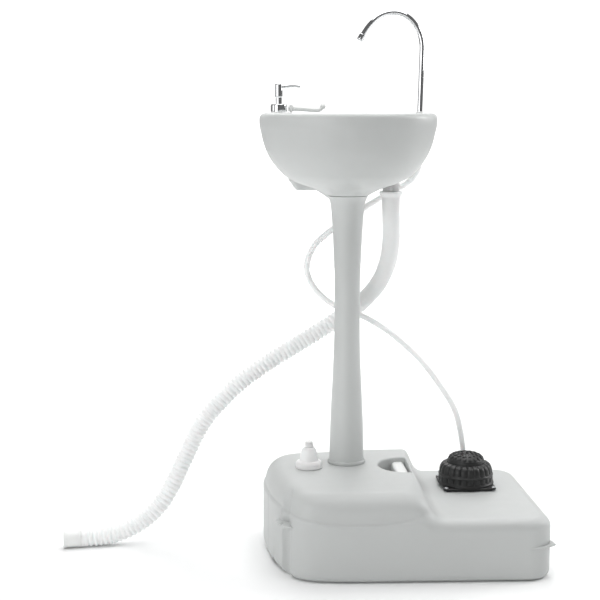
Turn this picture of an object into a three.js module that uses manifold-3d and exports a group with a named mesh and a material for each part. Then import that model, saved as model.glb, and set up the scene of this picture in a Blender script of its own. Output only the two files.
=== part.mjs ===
// Portable handwash sink: a fresh-water tank that stands on the floor, a waisted column that plugs
// into it, and a round basin on top with a foot-pumped gooseneck tap, a soap dispenser and a drain hose.
// Millimetres, +X to the right, +Y to the back, +Z up. The origin is on the floor under the column.

import * as THREE from "three";
import { mergeVertices } from "three/addons/utils/BufferGeometryUtils.js";
import { ConvexGeometry } from "three/addons/geometries/ConvexGeometry.js";
import Module from "manifold-3d";

// ---------------------------------------------------------------- driving dimensions

const GAP = 0.3; // between pieces that touch
const RUNNING = 0.5; // radial clearance of pieces that turn or slide

// Tank
const TANK = {
  left: -168,
  right: 352,
  front: -243,
  back: 108,
  deck: 113, // height of the low deck, which carries the pump
  hump: 160, // height of the high end, which carries the column
  humpRight: 126,
  edge: 22, // rounding of the low deck's edges
  humpEdge: 30, // rounding of the hump's edges
  corner: 44, // plan radius of the right-hand corners
  wall: 3,
};

// Column and its sockets
const SPIGOT = { radius: 30, length: 37 }; // the column's plain ends, in the tank and in the basin
const COLUMN = {
  foot: SPIGOT.radius + 3.5,
  waist: 24.2,
  top: SPIGOT.radius + 8.3,
  wall: 2.8,
};
const COLUMN_SEAM = 676; // height where the basin sits on the column
const FOOT_RING = { width: 2.4, height: 7 };

// Basin
const RIM = COLUMN_SEAM + 154; // height of the basin's deck
const BASIN = { radius: 166, power: 2.3, wall: 3, lip: 4 };
const BOWL = {
  halfX: BASIN.radius - 26,
  halfY: BASIN.radius - 54,
  centreY: -32,
  depth: 103,
  power: 3,
};

// Handle
const GRIP = { x: 103, y: -29, z: 139, radius: 12, recess: 54, floor: 117, seat: 6, rimGap: 2.5 };

// Filler cap
const NECK = { radius: 21.5, height: 10, wall: 3 };
const FILLER = { x: -76, y: -38, bore: NECK.radius - NECK.wall, ring: 14, taper: 37, dome: 40.2,
  post: 47 };
const CAP_RADIUS = NECK.radius + 4;
const VENT = { radius: 5.5, bore: 2.5, low: 41, high: 53 };

// Wheels
const WHEEL = { x: -116, radius: 27, tread: 5, width: 22, centres: [-110, 25], clear: 4, ground: 1 };
const AXLE_RADIUS = 4;

// Foot pump
const PUMP_CUP = { radius: 39.5, depth: 48, wall: 2.5, rim: 5.5 };
const CROWN = { radius: PUMP_CUP.radius - 3.5, top: 65.5, wall: 3.2, skirt: 20 };
const SKIRT = { radius: PUMP_CUP.radius + 13, height: 46.5, wall: 3 };
const PUMP = {
  x: 232,
  y: -13,
  plate: 2 * SKIRT.radius + 6,
  chamfer: 10,
  plateThick: 4,
  bore: PUMP_CUP.radius + 1.5,
  gasket: 1.7,
};
const PUMP_SCREW = {
  offset: PUMP.plate / 2 - 10.5,
  head: 4.2,
  headHeight: 2.4,
  shank: 2.2,
  length: 12,
};
const OUTLET = { x: 8, y: PUMP.plate / 2 + 9.5, radius: 3.6, height: 22, collar: 9 };

// Hose and tube
const HOSE_RADIUS = 16;
const TUBE_RADIUS = 5;

// Drain
const DRAIN_TAIL = 12.8;
const DRAIN = {
  x: 88,
  y: 42,
  boss: DRAIN_TAIL + 2.95,
  bore: DRAIN_TAIL + GAP,
  pipe: DRAIN_TAIL - 2,
  flange: 25,
  sump: 27,
};
const DRAIN_BOSS_END = COLUMN_SEAM + 5;
const HOSE_NUT = { flange: 22.5, sleeve: 17.2, height: 31 };

// Tap
const TAP = {
  x: BASIN.radius - 23,
  y: 50,
  radius: 5,
  riser: 119,
  apex: 188,
  reach: 113,
  tail: 88,
  spoutDrop: 55,
};
const GROMMET = { radius: TAP.radius + 2.2, height: 3 };
const TAP_NUT = { radius: TAP.radius + 3.4, height: 8 };
const NOZZLE = { radius: TAP.radius + 1.4, length: 13 };

// Soap dispenser
const SOAP = {
  x: 39 - BASIN.radius,
  y: 55,
  collar: 15.75,
  collarHeight: 17,
  stem: 6,
  head: 7.5,
  headLow: 29.4,
  top: 55.6,
};
const SOAP_FLANGE = { radius: 26, height: 3 };
const SOAP_NECK = { radius: 12.5, length: 20, wall: 3 };
const SOAP_BARREL = { radius: 9, wall: 1.8, length: 45 };
const SOAP_SPOUT = { reach: 41, radius: 3.2 };
const SOAP_BOSS = { x: 84 - BASIN.radius, y: 62, halfX: 28, halfY: 26, low: COLUMN_SEAM + 7 };

// Towel arm
const ARM = { x: SOAP.x + 24, y: SOAP.y + 9, z: 8, eye: 5.5, rod: 3.8, reach: 57, ball: 5.6, pin: 2.5 };

// Drain hose, from the drain nut down behind the column to the floor on the left.
const HOSE_ROUTE = [
  [88, 42, 648.7], [89, 43, 620], [89.5, 46, 585], [83.5, 52.5, 540], [66, 59.5, 499],
    [36.5, 65.5, 464.5],
  [6, 68, 441], [-24, 68, 422], [-86, 65, 384], [-145, 60, 349], [-204, 55, 308], [-252, 50, 262],
  [-274.6, 45.7, 235.3], [-292.5, 41.3, 205.3], [-315.9, 34.7, 157.3], [-339.3, 28.1, 109.3],
  [-365, 22.4, 71.2], [-400.2, 16.7, 41.7], [-442.1, 10.9, 23], [-487.6, 5.2, 16.6], [-513.6, 2, 16.6],
];

// Supply tube, from the pump outlet up behind the column to the tap's tail.
const TUBE_ROUTE = [
  [240, 52, 135.3], [239, 51, 163], [234, 50, 197], [221, 50, 247], [191, 52, 297], [151, 54, 349],
  [90, 47, 405], [34, 37, 440], [3, 34.5, 452], [-27, 34.5, 466], [-56, 39, 491], [-74, 45, 530],
  [-62, 48, 572], [-29, 44, 605], [5, 47, 627], [38, 64, 647], [69, 79, 664], [97, 83, 678],
  [121, 73.5, 693], [136, 59.5, 711], [142.6, 50.6, 731], [143, 50, 741.2],
];

// ---------------------------------------------------------------- materials

const colour = (name, hex, roughness, metalness = 0) =>
  new THREE.MeshStandardMaterial({ name, color: hex, roughness, metalness });

const MATERIALS = {
  body: () => colour("body_plastic", 0xc9cccb, 0.45),
  white: () => colour("white_plastic", 0xf1f2f1, 0.4),
  clear: () => colour("translucent_plastic", 0xe6eae9, 0.35),
  black: () => colour("black_rubber", 0x1b1b1c, 0.6),
  dark: () => colour("dark_plastic", 0x2b2c2d, 0.5),
  chrome: () => colour("chrome", 0xd9dbdd, 0.08, 1),
  steel: () => colour("steel", 0xb9bcbf, 0.3, 1),
  seal: () => colour("seal_rubber", 0x3a3a3a, 0.7),
};

// ---------------------------------------------------------------- geometry helpers

const wasm = await Module();
wasm.setup();

const point2 = ([x, y]) => new THREE.Vector2(x, y);
const point3 = ([x, y, z]) => new THREE.Vector3(x, y, z);

/** A welded copy of a geometry: positions only, no zero-area triangles, faces pointing out. */
function weld(geometry) {
  const bare = new THREE.BufferGeometry();
  bare.setAttribute("position", geometry.getAttribute("position"));
  if (geometry.index) bare.setIndex(geometry.index);
  const merged = mergeVertices(bare, 1e-4);
  const at = merged.getAttribute("position");
  const faces = [];
  let volume = 0;
  const [a, b, c] = [new THREE.Vector3(), new THREE.Vector3(), new THREE.Vector3()];
  for (let i = 0; i < merged.index.count; i += 3) {
    const face = [0, 1, 2].map((k) => merged.index.getX(i + k));
    if (face[0] === face[1] || face[1] === face[2] || face[2] === face[0]) continue;
    a.fromBufferAttribute(at, face[0]);
    b.fromBufferAttribute(at, face[1]);
    c.fromBufferAttribute(at, face[2]);
    volume += a.dot(b.cross(c));
    faces.push(face);
  }
  const inward = volume < 0;
  merged.setIndex(faces.flatMap(([p, q, r]) => (inward ? [p, r, q] : [p, q, r])));
  return merged;
}

/** A geometry as a manifold solid. */
function solid(geometry) {
  const mesh = weld(geometry);
  const vertProperties = Float32Array.from(mesh.getAttribute("position").array);
  const triVerts = Uint32Array.from(mesh.index.array);
  return new wasm.Manifold(new wasm.Mesh({ numProp: 3, vertProperties, triVerts }));
}

/** A manifold solid as a geometry. */
function geometryOf(manifold) {
  const mesh = manifold.getMesh();
  const geometry = new THREE.BufferGeometry();
  geometry.setAttribute("position", new THREE.BufferAttribute(mesh.vertProperties, 3));
  geometry.setIndex(new THREE.BufferAttribute(mesh.triVerts, 1));
  return geometry;
}

const join = (first, ...rest) => geometryOf(rest.reduce((sum, g) => sum.add(solid(g)), solid(first)));
const cut = (first, ...rest) => geometryOf(rest.reduce((left, g) =>
  left.subtract(solid(g)), solid(first)));

/** A solid of revolution about +Z from [radius, height] points; a ring's profile closes on itself. */
function lathe(points, segments = 18) {
  const profile = points.map(point2);
  const onAxis = points[0][0] === 0 && points[points.length - 1][0] === 0;
  if (!onAxis) profile.push(profile[0].clone());
  return weld(new THREE.LatheGeometry(profile, segments).rotateX(Math.PI / 2));
}

const disc = (radius, low, high, segments = 18) =>
  lathe([[0, low], [radius, low], [radius, high], [0, high]], segments);

const pipe = (inner, outer, low, high, segments = 18) =>
  lathe([[inner, low], [outer, low], [outer, high], [inner, high]], segments);

/** A round rod along a curve. */
function rod(curve, radius, steps, sides = 8) {
  const section = new THREE.Shape().absarc(0, 0, radius, 0, 2 * Math.PI);
  return weld(new THREE.ExtrudeGeometry(section, { extrudePath: curve, steps, bevelEnabled: false,
    curveSegments: sides / 2 }));
}

/** A flat plate of a plan shape between two heights. */
const plate = (shape, low, high, curveSegments = 8) =>
  new THREE.ExtrudeGeometry(shape, { depth: high - low, bevelEnabled: false,
    curveSegments }).translate(0, 0, low);

/** A rectangle with rounded corners, centred on (x, y). */
function roundedRectangle(x, y, halfX, halfY, radius) {
  const shape = new THREE.Shape();
  shape.moveTo(x - halfX + radius, y - halfY);
  shape.absarc(x + halfX - radius, y - halfY + radius, radius, -Math.PI / 2, 0);
  shape.absarc(x + halfX - radius, y + halfY - radius, radius, 0, Math.PI / 2);
  shape.absarc(x - halfX + radius, y + halfY - radius, radius, Math.PI / 2, Math.PI);
  shape.absarc(x - halfX + radius, y - halfY + radius, radius, Math.PI, 1.5 * Math.PI);
  return shape;
}

/** A helical compression spring of round wire, standing on z = low. */
function coilSpring(radius, wire, low, high, turns) {
  const rise = high - low - 2 * wire;
  const curve = new THREE.Curve();
  curve.getPoint = (t, target = new THREE.Vector3()) => {
    const angle = 2 * Math.PI * turns * t;
    return target.set(radius * Math.cos(angle), radius * Math.sin(angle), low + wire + rise * t);
  };
  return rod(curve, wire, turns * 8, 4);
}

/** A mesh named for its node, placed in its group. */
function piece(name, geometry, material, [x, y, z] = [0, 0, 0]) {
  const mesh = new THREE.Mesh(geometry, material());
  mesh.name = name;
  mesh.position.set(x, y, z);
  return mesh;
}

function group([x, y, z], ...meshes) {
  const holder = new THREE.Group();
  holder.position.set(x, y, z);
  holder.add(...meshes);
  return holder;
}

// ---------------------------------------------------------------- tank

/** Plan outline of the tank's left end and of a straight body that ends at the given right side. */
function tankOutline(right, corner) {
  const { left, front, back } = TANK;
  const shape = new THREE.Shape();
  const noseY = front + 32;
  shape.moveTo(left + 66, front);
  shape.lineTo(right - corner, front);
  shape.absarc(right - corner, front + corner, corner, -Math.PI / 2, 0);
  shape.absarc(right - corner, back - corner, corner, 0, Math.PI / 2);
  shape.lineTo(left + 128, back);
  shape.bezierCurveTo(left + 50, back, left, back - 50, left, back - 128);
  shape.bezierCurveTo(left, front + 110, left + 16, front + 70, left + 24, noseY + 10);
  shape.quadraticCurveTo(left + 34, front, left + 66, front);
  return shape;
}

/** A block of a plan outline with rounded top and bottom edges, shrunk inwards by a wall. */
function mouldedBlock(outline, high, edge, wall) {
  const bevel = edge - wall;
  return new THREE.ExtrudeGeometry(outline, {
    depth: high - 2 * edge,
    bevelThickness: bevel,
    bevelSize: bevel,
    bevelOffset: -edge,
    bevelSegments: 2,
    curveSegments: 4,
  }).translate(0, 0, edge);
}

const tankBody = (wall) =>
  solid(mouldedBlock(tankOutline(TANK.right, TANK.corner), TANK.deck, TANK.edge, wall)).add(
    solid(mouldedBlock(tankOutline(TANK.humpRight, TANK.humpEdge + 4), TANK.hump, TANK.humpEdge, wall)),
  );

/** The D-shaped hand recess, closed by a solid rim on its right; grown by a wall for the hollow's sake. */
function gripRecess(wall) {
  const radius = GRIP.recess + wall;
  const centre = TANK.humpRight - 14;
  const right = wall > 0 ? TANK.humpRight + 20 : GRIP.x + GRIP.radius + GRIP.rimGap;
  const shape = new THREE.Shape();
  shape.moveTo(right, GRIP.y - radius);
  shape.lineTo(right, GRIP.y + radius);
  shape.lineTo(centre, GRIP.y + radius);
  shape.absarc(centre, GRIP.y, radius, Math.PI / 2, 1.5 * Math.PI);
  return plate(shape, GRIP.floor - wall, TANK.hump + 5, 8);
}

/** The seats of the grip bar in the recess's walls, grown by a wall. */
function gripSeats(wall) {
  const half = GRIP.recess + GRIP.seat + wall;
  return disc(GRIP.radius + GAP + wall, -half, half).rotateX(Math.PI / 2).translate(GRIP.x, GRIP.y,
    GRIP.z);
}

/** A vertical flute down the tank's left end. */
const flute = (x, y, radius, wall) => disc(radius + wall, -5, TANK.hump - 34 + wall, 16).translate(x, y,
  0);

const axleHeight = WHEEL.radius + WHEEL.ground;

/** The wells that the wheels turn in and the slot that holds the axle, grown by a wall. */
function wheelSpaces(wall) {
  const radius = WHEEL.radius + WHEEL.clear + wall;
  const half = WHEEL.width / 2 + 2 + wall;
  const wells = WHEEL.centres.flatMap((y) => [
    disc(radius, -half, half, 24).rotateX(Math.PI / 2).translate(WHEEL.x, y, axleHeight),
    new THREE.BoxGeometry(2 * radius, 2 * half, axleHeight + 5).translate(WHEEL.x, y,
      (axleHeight - 5) / 2),
  ]);
  const [frontY, backY] = WHEEL.centres;
  const slotWidth = 2 * (AXLE_RADIUS + GAP + wall);
  const slotLength = backY - frontY + WHEEL.width + 24 + 2 * wall;
  const slotHigh = axleHeight + AXLE_RADIUS + GAP + wall;
  const slot = new THREE.BoxGeometry(slotWidth, slotLength, slotHigh + 5);
  return [...wells, slot.translate(WHEEL.x, (frontY + backY) / 2, (slotHigh - 5) / 2)];
}

/** A triangular tab with a round hole, left on the mould's parting line at a front corner. */
function partingTab(corners, hole, z) {
  const shape = new THREE.Shape(corners.map(point2));
  return cut(plate(shape, z - 1.6, z + 1.6), disc(hole[2], z - 5, z + 5, 16).translate(hole[0], hole[1],
    0));
}

function tankShell() {
  const socket = SPIGOT.radius + GAP;
  const socketFloor = TANK.hump - SPIGOT.length - 1;
  const recesses = (wall) => [
    gripRecess(wall),
    flute(TANK.left + 29, TANK.front + 22, 11, wall),
    flute(TANK.left + 5, TANK.front + 92, 9, wall),
    gripSeats(wall),
    ...wheelSpaces(wall),
    disc(socket + wall, socketFloor - wall, TANK.hump + 5),
  ];
  let hollow = tankBody(TANK.wall);
  recesses(TANK.wall).forEach((space) => (hollow = hollow.subtract(solid(space))));
  let shell = tankBody(0);
  recesses(0).forEach((space) => (shell = shell.subtract(solid(space))));
  const neckTop = TANK.hump + NECK.height;
  const additions = [
    disc(NECK.radius, TANK.hump - TANK.wall, neckTop).translate(FILLER.x, FILLER.y, 0),
    partingTab([[TANK.right - 40, TANK.front], [TANK.right + 5, TANK.front + 15],
      [TANK.right - 1, TANK.front + 50],
      [TANK.right - 12, TANK.front + 50], [TANK.right - 40, TANK.front + 12]],
    [TANK.right - 8, TANK.front + 24, 3.6], 55),
    partingTab([[TANK.left + 18, TANK.front + 26], [TANK.left + 24, TANK.front + 10],
      [TANK.left + 44, TANK.front + 1],
      [TANK.left + 50, TANK.front + 10], [TANK.left + 38, TANK.front + 34]],
    [TANK.left + 30, TANK.front + 16, 3.6], 108),
  ];
  additions.forEach((extra) => (shell = shell.add(solid(extra))));
  const screws = [-1, 1].flatMap((i) => [-1, 1].map((j) =>
    disc(PUMP_SCREW.shank + GAP, TANK.deck - 9, TANK.deck + 5, 12)
      .translate(PUMP.x + i * PUMP_SCREW.offset, PUMP.y + j * PUMP_SCREW.offset, 0)));
  const openings = [
    geometryOf(hollow),
    disc(FILLER.bore, TANK.hump - 9, neckTop + 5).translate(FILLER.x, FILLER.y, 0),
    disc(PUMP_CUP.radius + GAP, TANK.deck - 9, TANK.deck + 5).translate(PUMP.x, PUMP.y, 0),
    disc(OUTLET.radius + 1.3, TANK.deck - 9, TANK.deck + 5, 16).translate(PUMP.x + OUTLET.x,
      PUMP.y + OUTLET.y, 0),
    ...screws,
  ];
  openings.forEach((space) => (shell = shell.subtract(solid(space))));
  return geometryOf(shell);
}

/** The round grip that bridges the hand recess from front to back, seated in both of its walls. */
function gripBar() {
  const half = GRIP.recess + GRIP.seat - GAP;
  return disc(GRIP.radius, -half, half).rotateX(Math.PI / 2);
}

// ---------------------------------------------------------------- wheels

function wheelTyre() {
  const { radius, tread, width } = WHEEL;
  const inner = radius - tread;
  const half = width / 2;
  return lathe([[inner, -half + 2], [radius - 2, -half], [radius, -half + 2], [radius, half - 2],
    [radius - 2, half],
    [inner, half - 2]]).rotateX(Math.PI / 2);
}

function wheelHub() {
  const rim = WHEEL.radius - WHEEL.tread - GAP;
  const bore = AXLE_RADIUS + 0.1;
  const half = WHEEL.width / 2;
  return lathe([[bore, -half], [bore + 4, -half], [bore + 5, -2.5], [rim - 3, -2.5],
    [rim - 2, -half + 3], [rim, -half + 3],
    [rim, half - 3], [rim - 2, half - 3], [rim - 3, 2.5], [bore + 5, 2.5], [bore + 4, half],
      [bore, half]])
    .rotateX(Math.PI / 2);
}

function wheels() {
  const [frontY, backY] = WHEEL.centres;
  const middle = (frontY + backY) / 2;
  const axleHalf = (backY - frontY) / 2 + WHEEL.width / 2 + 11;
  const clipThick = 1.4;
  const clip = () => pipe(AXLE_RADIUS + GAP, 8, -clipThick / 2, clipThick / 2, 12).rotateX(Math.PI / 2);
  const clipAt = WHEEL.width / 2 + GAP + clipThick / 2;
  return group(
    [WHEEL.x, 0, axleHeight],
    piece("axle", disc(AXLE_RADIUS, -axleHalf, axleHalf, 20).rotateX(Math.PI / 2), MATERIALS.steel,
      [0, middle, 0]),
    piece("wheel_hub_front", wheelHub(), MATERIALS.dark, [0, frontY, 0]),
    piece("wheel_tyre_front", wheelTyre(), MATERIALS.black, [0, frontY, 0]),
    piece("wheel_hub_back", wheelHub(), MATERIALS.dark, [0, backY, 0]),
    piece("wheel_tyre_back", wheelTyre(), MATERIALS.black, [0, backY, 0]),
    piece("axle_clip_front", clip(), MATERIALS.steel, [0, frontY + clipAt, 0]),
    piece("axle_clip_back", clip(), MATERIALS.steel, [0, backY - clipAt, 0]),
  );
}

// ---------------------------------------------------------------- filler cap

function fillerCap() {
  const { ring, taper, dome, post } = FILLER;
  const thread = NECK.radius + RUNNING;
  const domeFoot = CAP_RADIUS - 8.5;
  const ceiling = NECK.height + 2;
  return lathe([
    [thread, 2 * GAP], [CAP_RADIUS, 2 * GAP], [CAP_RADIUS, ring - 3], [CAP_RADIUS - 3, ring],
    [domeFoot, ring + 1], [domeFoot - 1, ring + 4], [domeFoot - 3.2, taper], [domeFoot - 6, dome - 0.7],
    [VENT.radius, dome], [VENT.radius, post], [VENT.bore, post], [VENT.bore, ceiling], [thread, ceiling],
  ]);
}

function ventSpout() {
  const { radius, low, high } = VENT;
  const bore = radius + RUNNING;
  const plug = FILLER.post + 1.5;
  return lathe([
    [bore, low], [radius + 2.7, low], [radius + 3.1, low + 2], [radius + 1.5, low + 6],
    [radius + 1.9, low + 9], [radius + 0.5, high - 0.5], [1.6, high], [1.6, plug], [bore, plug],
  ], 14);
}

const filler = () => group(
  [FILLER.x, FILLER.y, TANK.hump],
  piece("filler_cap", fillerCap(), MATERIALS.clear),
  piece("cap_gasket", pipe(FILLER.bore, NECK.radius, NECK.height + GAP, NECK.height + 2 - GAP),
    MATERIALS.seal),
  piece("vent_spout", ventSpout(), MATERIALS.clear),
);

// ---------------------------------------------------------------- foot pump

const plateLow = PUMP.gasket + 2 * GAP;
const plateHigh = plateLow + PUMP.plateThick;
const skirtLow = plateHigh + GAP;

function pumpPlate() {
  const half = PUMP.plate / 2;
  const edge = half - PUMP.chamfer;
  const shape = new THREE.Shape([[-edge, -half], [edge, -half], [half, -edge], [half, edge],
    [edge, half], [-edge, half],
    [-half, edge], [-half, -edge]].map(point2));
  const holes = [-1, 1].flatMap((i) => [-1, 1].map((j) =>
    disc(PUMP_SCREW.shank + GAP, 0, plateHigh + 5, 12).translate(i * PUMP_SCREW.offset,
      j * PUMP_SCREW.offset, 0)));
  return cut(plate(shape, plateLow, plateHigh), disc(PUMP.bore, 0, plateHigh + 5), ...holes);
}

/** The pleated rubber skirt, an open ring that the crown sinks into. */
function pumpSkirt() {
  const { radius, height, wall } = SKIRT;
  const mouth = CROWN.radius + RUNNING;
  const foot = PUMP_CUP.radius + PUMP_CUP.rim + 1;
  const base = skirtLow + 2.6;
  return lathe([[foot, skirtLow], [radius + 1.5, skirtLow], [radius, base + 2], [radius, height - 24],
    [radius - 1.5, height - 22], [radius - 2, height - 9], [radius - 5, height - 3.5],
      [radius - 12, height],
    [mouth, height], [mouth, height - wall], [radius - 12, height - wall],
      [radius - 4 - wall, height - 7],
    [radius - 2 - wall, height - 22], [radius - wall, base], [foot, base]], 22);
}

/** The hollow domed crown that the foot presses. */
function pumpCrown() {
  const { radius, top, wall, skirt } = CROWN;
  const shoulder = top - 15;
  const outside = lathe([[0, shoulder - skirt], [radius, shoulder - skirt], [radius, shoulder],
    [radius - 2.5, top - 9],
    [radius - 9, top - 4.5], [radius - 20, top - 1.2], [0, top]], 22);
  const inside = lathe([[0, shoulder - skirt - 5], [radius - wall, shoulder - skirt - 5],
    [radius - wall, shoulder - 2],
    [radius - wall - 2, top - 12], [radius - 10, top - wall - 5], [radius - 20, top - wall - 2.4],
    [0, top - wall - 1.2]], 22);
  return cut(outside, inside);
}

/** The cup that hangs in the tank, with the inlet and outlet ports in its floor. */
function pumpCup() {
  const { radius, depth, wall, rim } = PUMP_CUP;
  const flange = radius + rim;
  const body = lathe([[0, -depth], [radius, -depth], [radius, plateHigh + GAP], [flange, plateHigh + GAP],
    [flange, plateHigh + 2.3], [radius - wall, plateHigh + 2.3], [radius - wall, wall - depth],
      [0, wall - depth]]);
  return cut(body, disc(2.6, -depth - 5, 0, 16), disc(2.6, -depth - 5, 0, 16).translate(22, 0, 0));
}

/** A rubber umbrella valve: a thin cap on a short stem. */
const umbrellaValve = (radius) => lathe([[0, -2.2], [1.6, -2.2], [1.6, 0.3], [radius, 0.5],
  [radius * 0.7, 2], [0, 2.6]], 12);

function pumpScrew() {
  const { head, headHeight, shank, length } = PUMP_SCREW;
  return lathe([[0, plateHigh - length], [shank, plateHigh - length + 1], [shank, plateHigh + GAP],
    [head, plateHigh + GAP], [head, plateHigh + headHeight * 0.6], [head * 0.6, plateHigh + headHeight],
    [0, plateHigh + headHeight]], 10);
}

function outletFitting() {
  const { radius: r, collar, height } = OUTLET;
  const bore = r / 2;
  return lathe([
    [bore, -14], [r + 1, -14], [r + 1, GAP], [collar, GAP], [collar, 5], [r, 6], [r, 12], [r + 0.8, 12.5],
    [r, 18], [r, height], [bore, height],
  ], 12);
}

function footPump() {
  const cupFloor = PUMP_CUP.wall - PUMP_CUP.depth;
  const tankFloor = TANK.wall - TANK.deck;
  const dipEnd = tankFloor + 9;
  const pressure = new THREE.CatmullRomCurve3([[22, 0, -PUMP_CUP.depth - 1.5],
    [22, 1, -PUMP_CUP.depth - 7],
    [26, 14, -PUMP_CUP.depth - 18], [26, 42, -PUMP_CUP.depth - 8], [12, 62, -36],
      [OUTLET.x, OUTLET.y, -24],
    [OUTLET.x, OUTLET.y, -14 - GAP]].map(point3));
  const screws = [["front", -1], ["back", 1]].flatMap(([row, j]) =>
    [["left", -1], ["right", 1]].map(([side, i]) =>
    piece(`pump_screw_${row}_${side}`, pumpScrew(), MATERIALS.steel,
      [i * PUMP_SCREW.offset, j * PUMP_SCREW.offset, 0])));
  const strainer = lathe([[0, dipEnd - 7], [9, dipEnd - 7], [10, dipEnd - 5], [8, dipEnd - GAP],
    [0, dipEnd - GAP]], 20);
  return group(
    [PUMP.x, PUMP.y, TANK.deck],
    piece("pump_gasket", pipe(PUMP.bore, PUMP.bore + 9, GAP, GAP + PUMP.gasket), MATERIALS.seal),
    piece("pump_base_plate", pumpPlate(), MATERIALS.black),
    piece("pump_skirt", pumpSkirt(), MATERIALS.black),
    piece("pump_crown", pumpCrown(), MATERIALS.black),
    piece("pump_cup", pumpCup(), MATERIALS.dark),
    piece("pump_spring", coilSpring(12, 1.2, cupFloor + 3.4, CROWN.top - CROWN.wall - 3.4, 7),
      MATERIALS.steel),
    piece("inlet_valve", umbrellaValve(8), MATERIALS.seal, [0, 0, cupFloor]),
    piece("outlet_valve", umbrellaValve(6), MATERIALS.seal, [22, 0, cupFloor]),
    piece("pressure_tube", rod(pressure, 3.5, 16), MATERIALS.clear),
    piece("dip_tube", disc(TUBE_RADIUS, dipEnd, -PUMP_CUP.depth - GAP, 12), MATERIALS.clear),
    piece("dip_strainer", strainer, MATERIALS.white),
    piece("outlet_fitting", outletFitting(), MATERIALS.white, [OUTLET.x, OUTLET.y, 0]),
    ...screws,
  );
}

// ---------------------------------------------------------------- column

/** The column's outside as radius over height, a long waist with a short flare at the top. */
function columnOutside() {
  const low = TANK.hump + GAP;
  const tall = COLUMN_SEAM - GAP - low;
  const at = (share, radius) => [radius, low + share * tall];
  const { foot, waist, top } = COLUMN;
  const curve = new THREE.SplineCurve([at(0, foot), at(0.1, foot - 1), at(0.27, foot - 4.3),
    at(0.46, waist + 0.8),
    at(0.58, waist), at(0.75, waist + 1.3), at(0.915, waist + 5.4), at(0.965, waist + 7.6),
      at(1, top)].map(point2));
  return curve.getPoints(11).map(({ x, y }) => [x, y]);
}

function columnTube() {
  const outside = columnOutside();
  const inside = outside.map(([r, z]) => [Math.min(r, SPIGOT.radius) - COLUMN.wall, z]).reverse();
  const low = TANK.hump - SPIGOT.length;
  const high = COLUMN_SEAM + SPIGOT.length;
  const bore = SPIGOT.radius - COLUMN.wall;
  return lathe([[SPIGOT.radius, low], [SPIGOT.radius, TANK.hump + GAP], ...outside,
    [SPIGOT.radius, COLUMN_SEAM - GAP],
    [SPIGOT.radius, high], [bore, high], ...inside, [bore, low]]);
}

const footRing = () => {
  const inner = COLUMN.foot + GAP;
  return lathe([[inner, GAP], [inner + FOOT_RING.width, GAP],
    [inner + FOOT_RING.width, FOOT_RING.height - 2],
    [inner + 0.8, FOOT_RING.height], [inner, FOOT_RING.height]]);
};

// ---------------------------------------------------------------- basin

/** Radius-height points of a superellipse bowl from its rim down to its floor. */
function bowlProfile(radius, depth, power, rows, top, share = 1) {
  const points = [];
  for (let i = 0; i <= rows; i += 1) {
    const angle = (Math.PI / 2) * share * (i / rows);
    const r = radius * Math.cos(angle) ** (2 / power);
    points.push([r, top - depth * Math.sin(angle) ** (2 / power)]);
  }
  return points;
}

/** The basin's outer body shrunk by a wall, closed across the top. */
function basinBody(wall) {
  const depth = RIM - COLUMN_SEAM - 3;
  const radius = BASIN.radius - wall;
  const low = COLUMN_SEAM + GAP + wall;
  const curve = bowlProfile(radius, depth - wall, BASIN.power, 7, RIM - BASIN.lip, 0.87).slice(1);
  return lathe([[0, low], [COLUMN.top - wall / 2, low], ...curve.reverse(), [radius, RIM - BASIN.lip - 6],
    [radius, RIM - BASIN.lip], [radius - BASIN.lip + 1, RIM - wall], [0, RIM - wall]], 28);
}

/** The inside of the bowl, grown by a wall, and the sump round the drain. */
function bowlSpace(wall) {
  const { halfX, halfY, centreY, depth, power } = BOWL;
  const curve = bowlProfile(1, depth + wall, power, 5, 0);
  const shape = lathe([[0, 6], [1, 6], ...curve.slice(0, -1), [0, -depth - wall]], 26);
  return shape.scale(halfX + wall, halfY + wall, 1).translate(0, centreY, RIM);
}

const sumpFloor = RIM - BOWL.depth;

const sumpSpace = (wall) => disc(DRAIN.sump + wall, sumpFloor - wall, RIM - 60).translate(DRAIN.x,
  DRAIN.y, 0);

/** The moulded pocket under the left of the basin that holds the soap bottle. */
function soapBoss(wall) {
  const { x, y, halfX, halfY, low } = SOAP_BOSS;
  const foot = roundedRectangle(x, y, halfX - 7 - wall, halfY - 7 - wall, 6);
  const top = roundedRectangle(x - 6, y + 2, halfX - wall, halfY - wall, 9);
  const points = [
    ...foot.getPoints(3).map((p) => new THREE.Vector3(p.x, p.y, low + wall)),
    ...top.getPoints(3).map((p) => new THREE.Vector3(p.x, p.y, low + 20)),
    ...top.getPoints(3).map((p) => new THREE.Vector3(p.x - 5, p.y - 8, low + 58)),
  ];
  return new ConvexGeometry(points);
}

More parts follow.
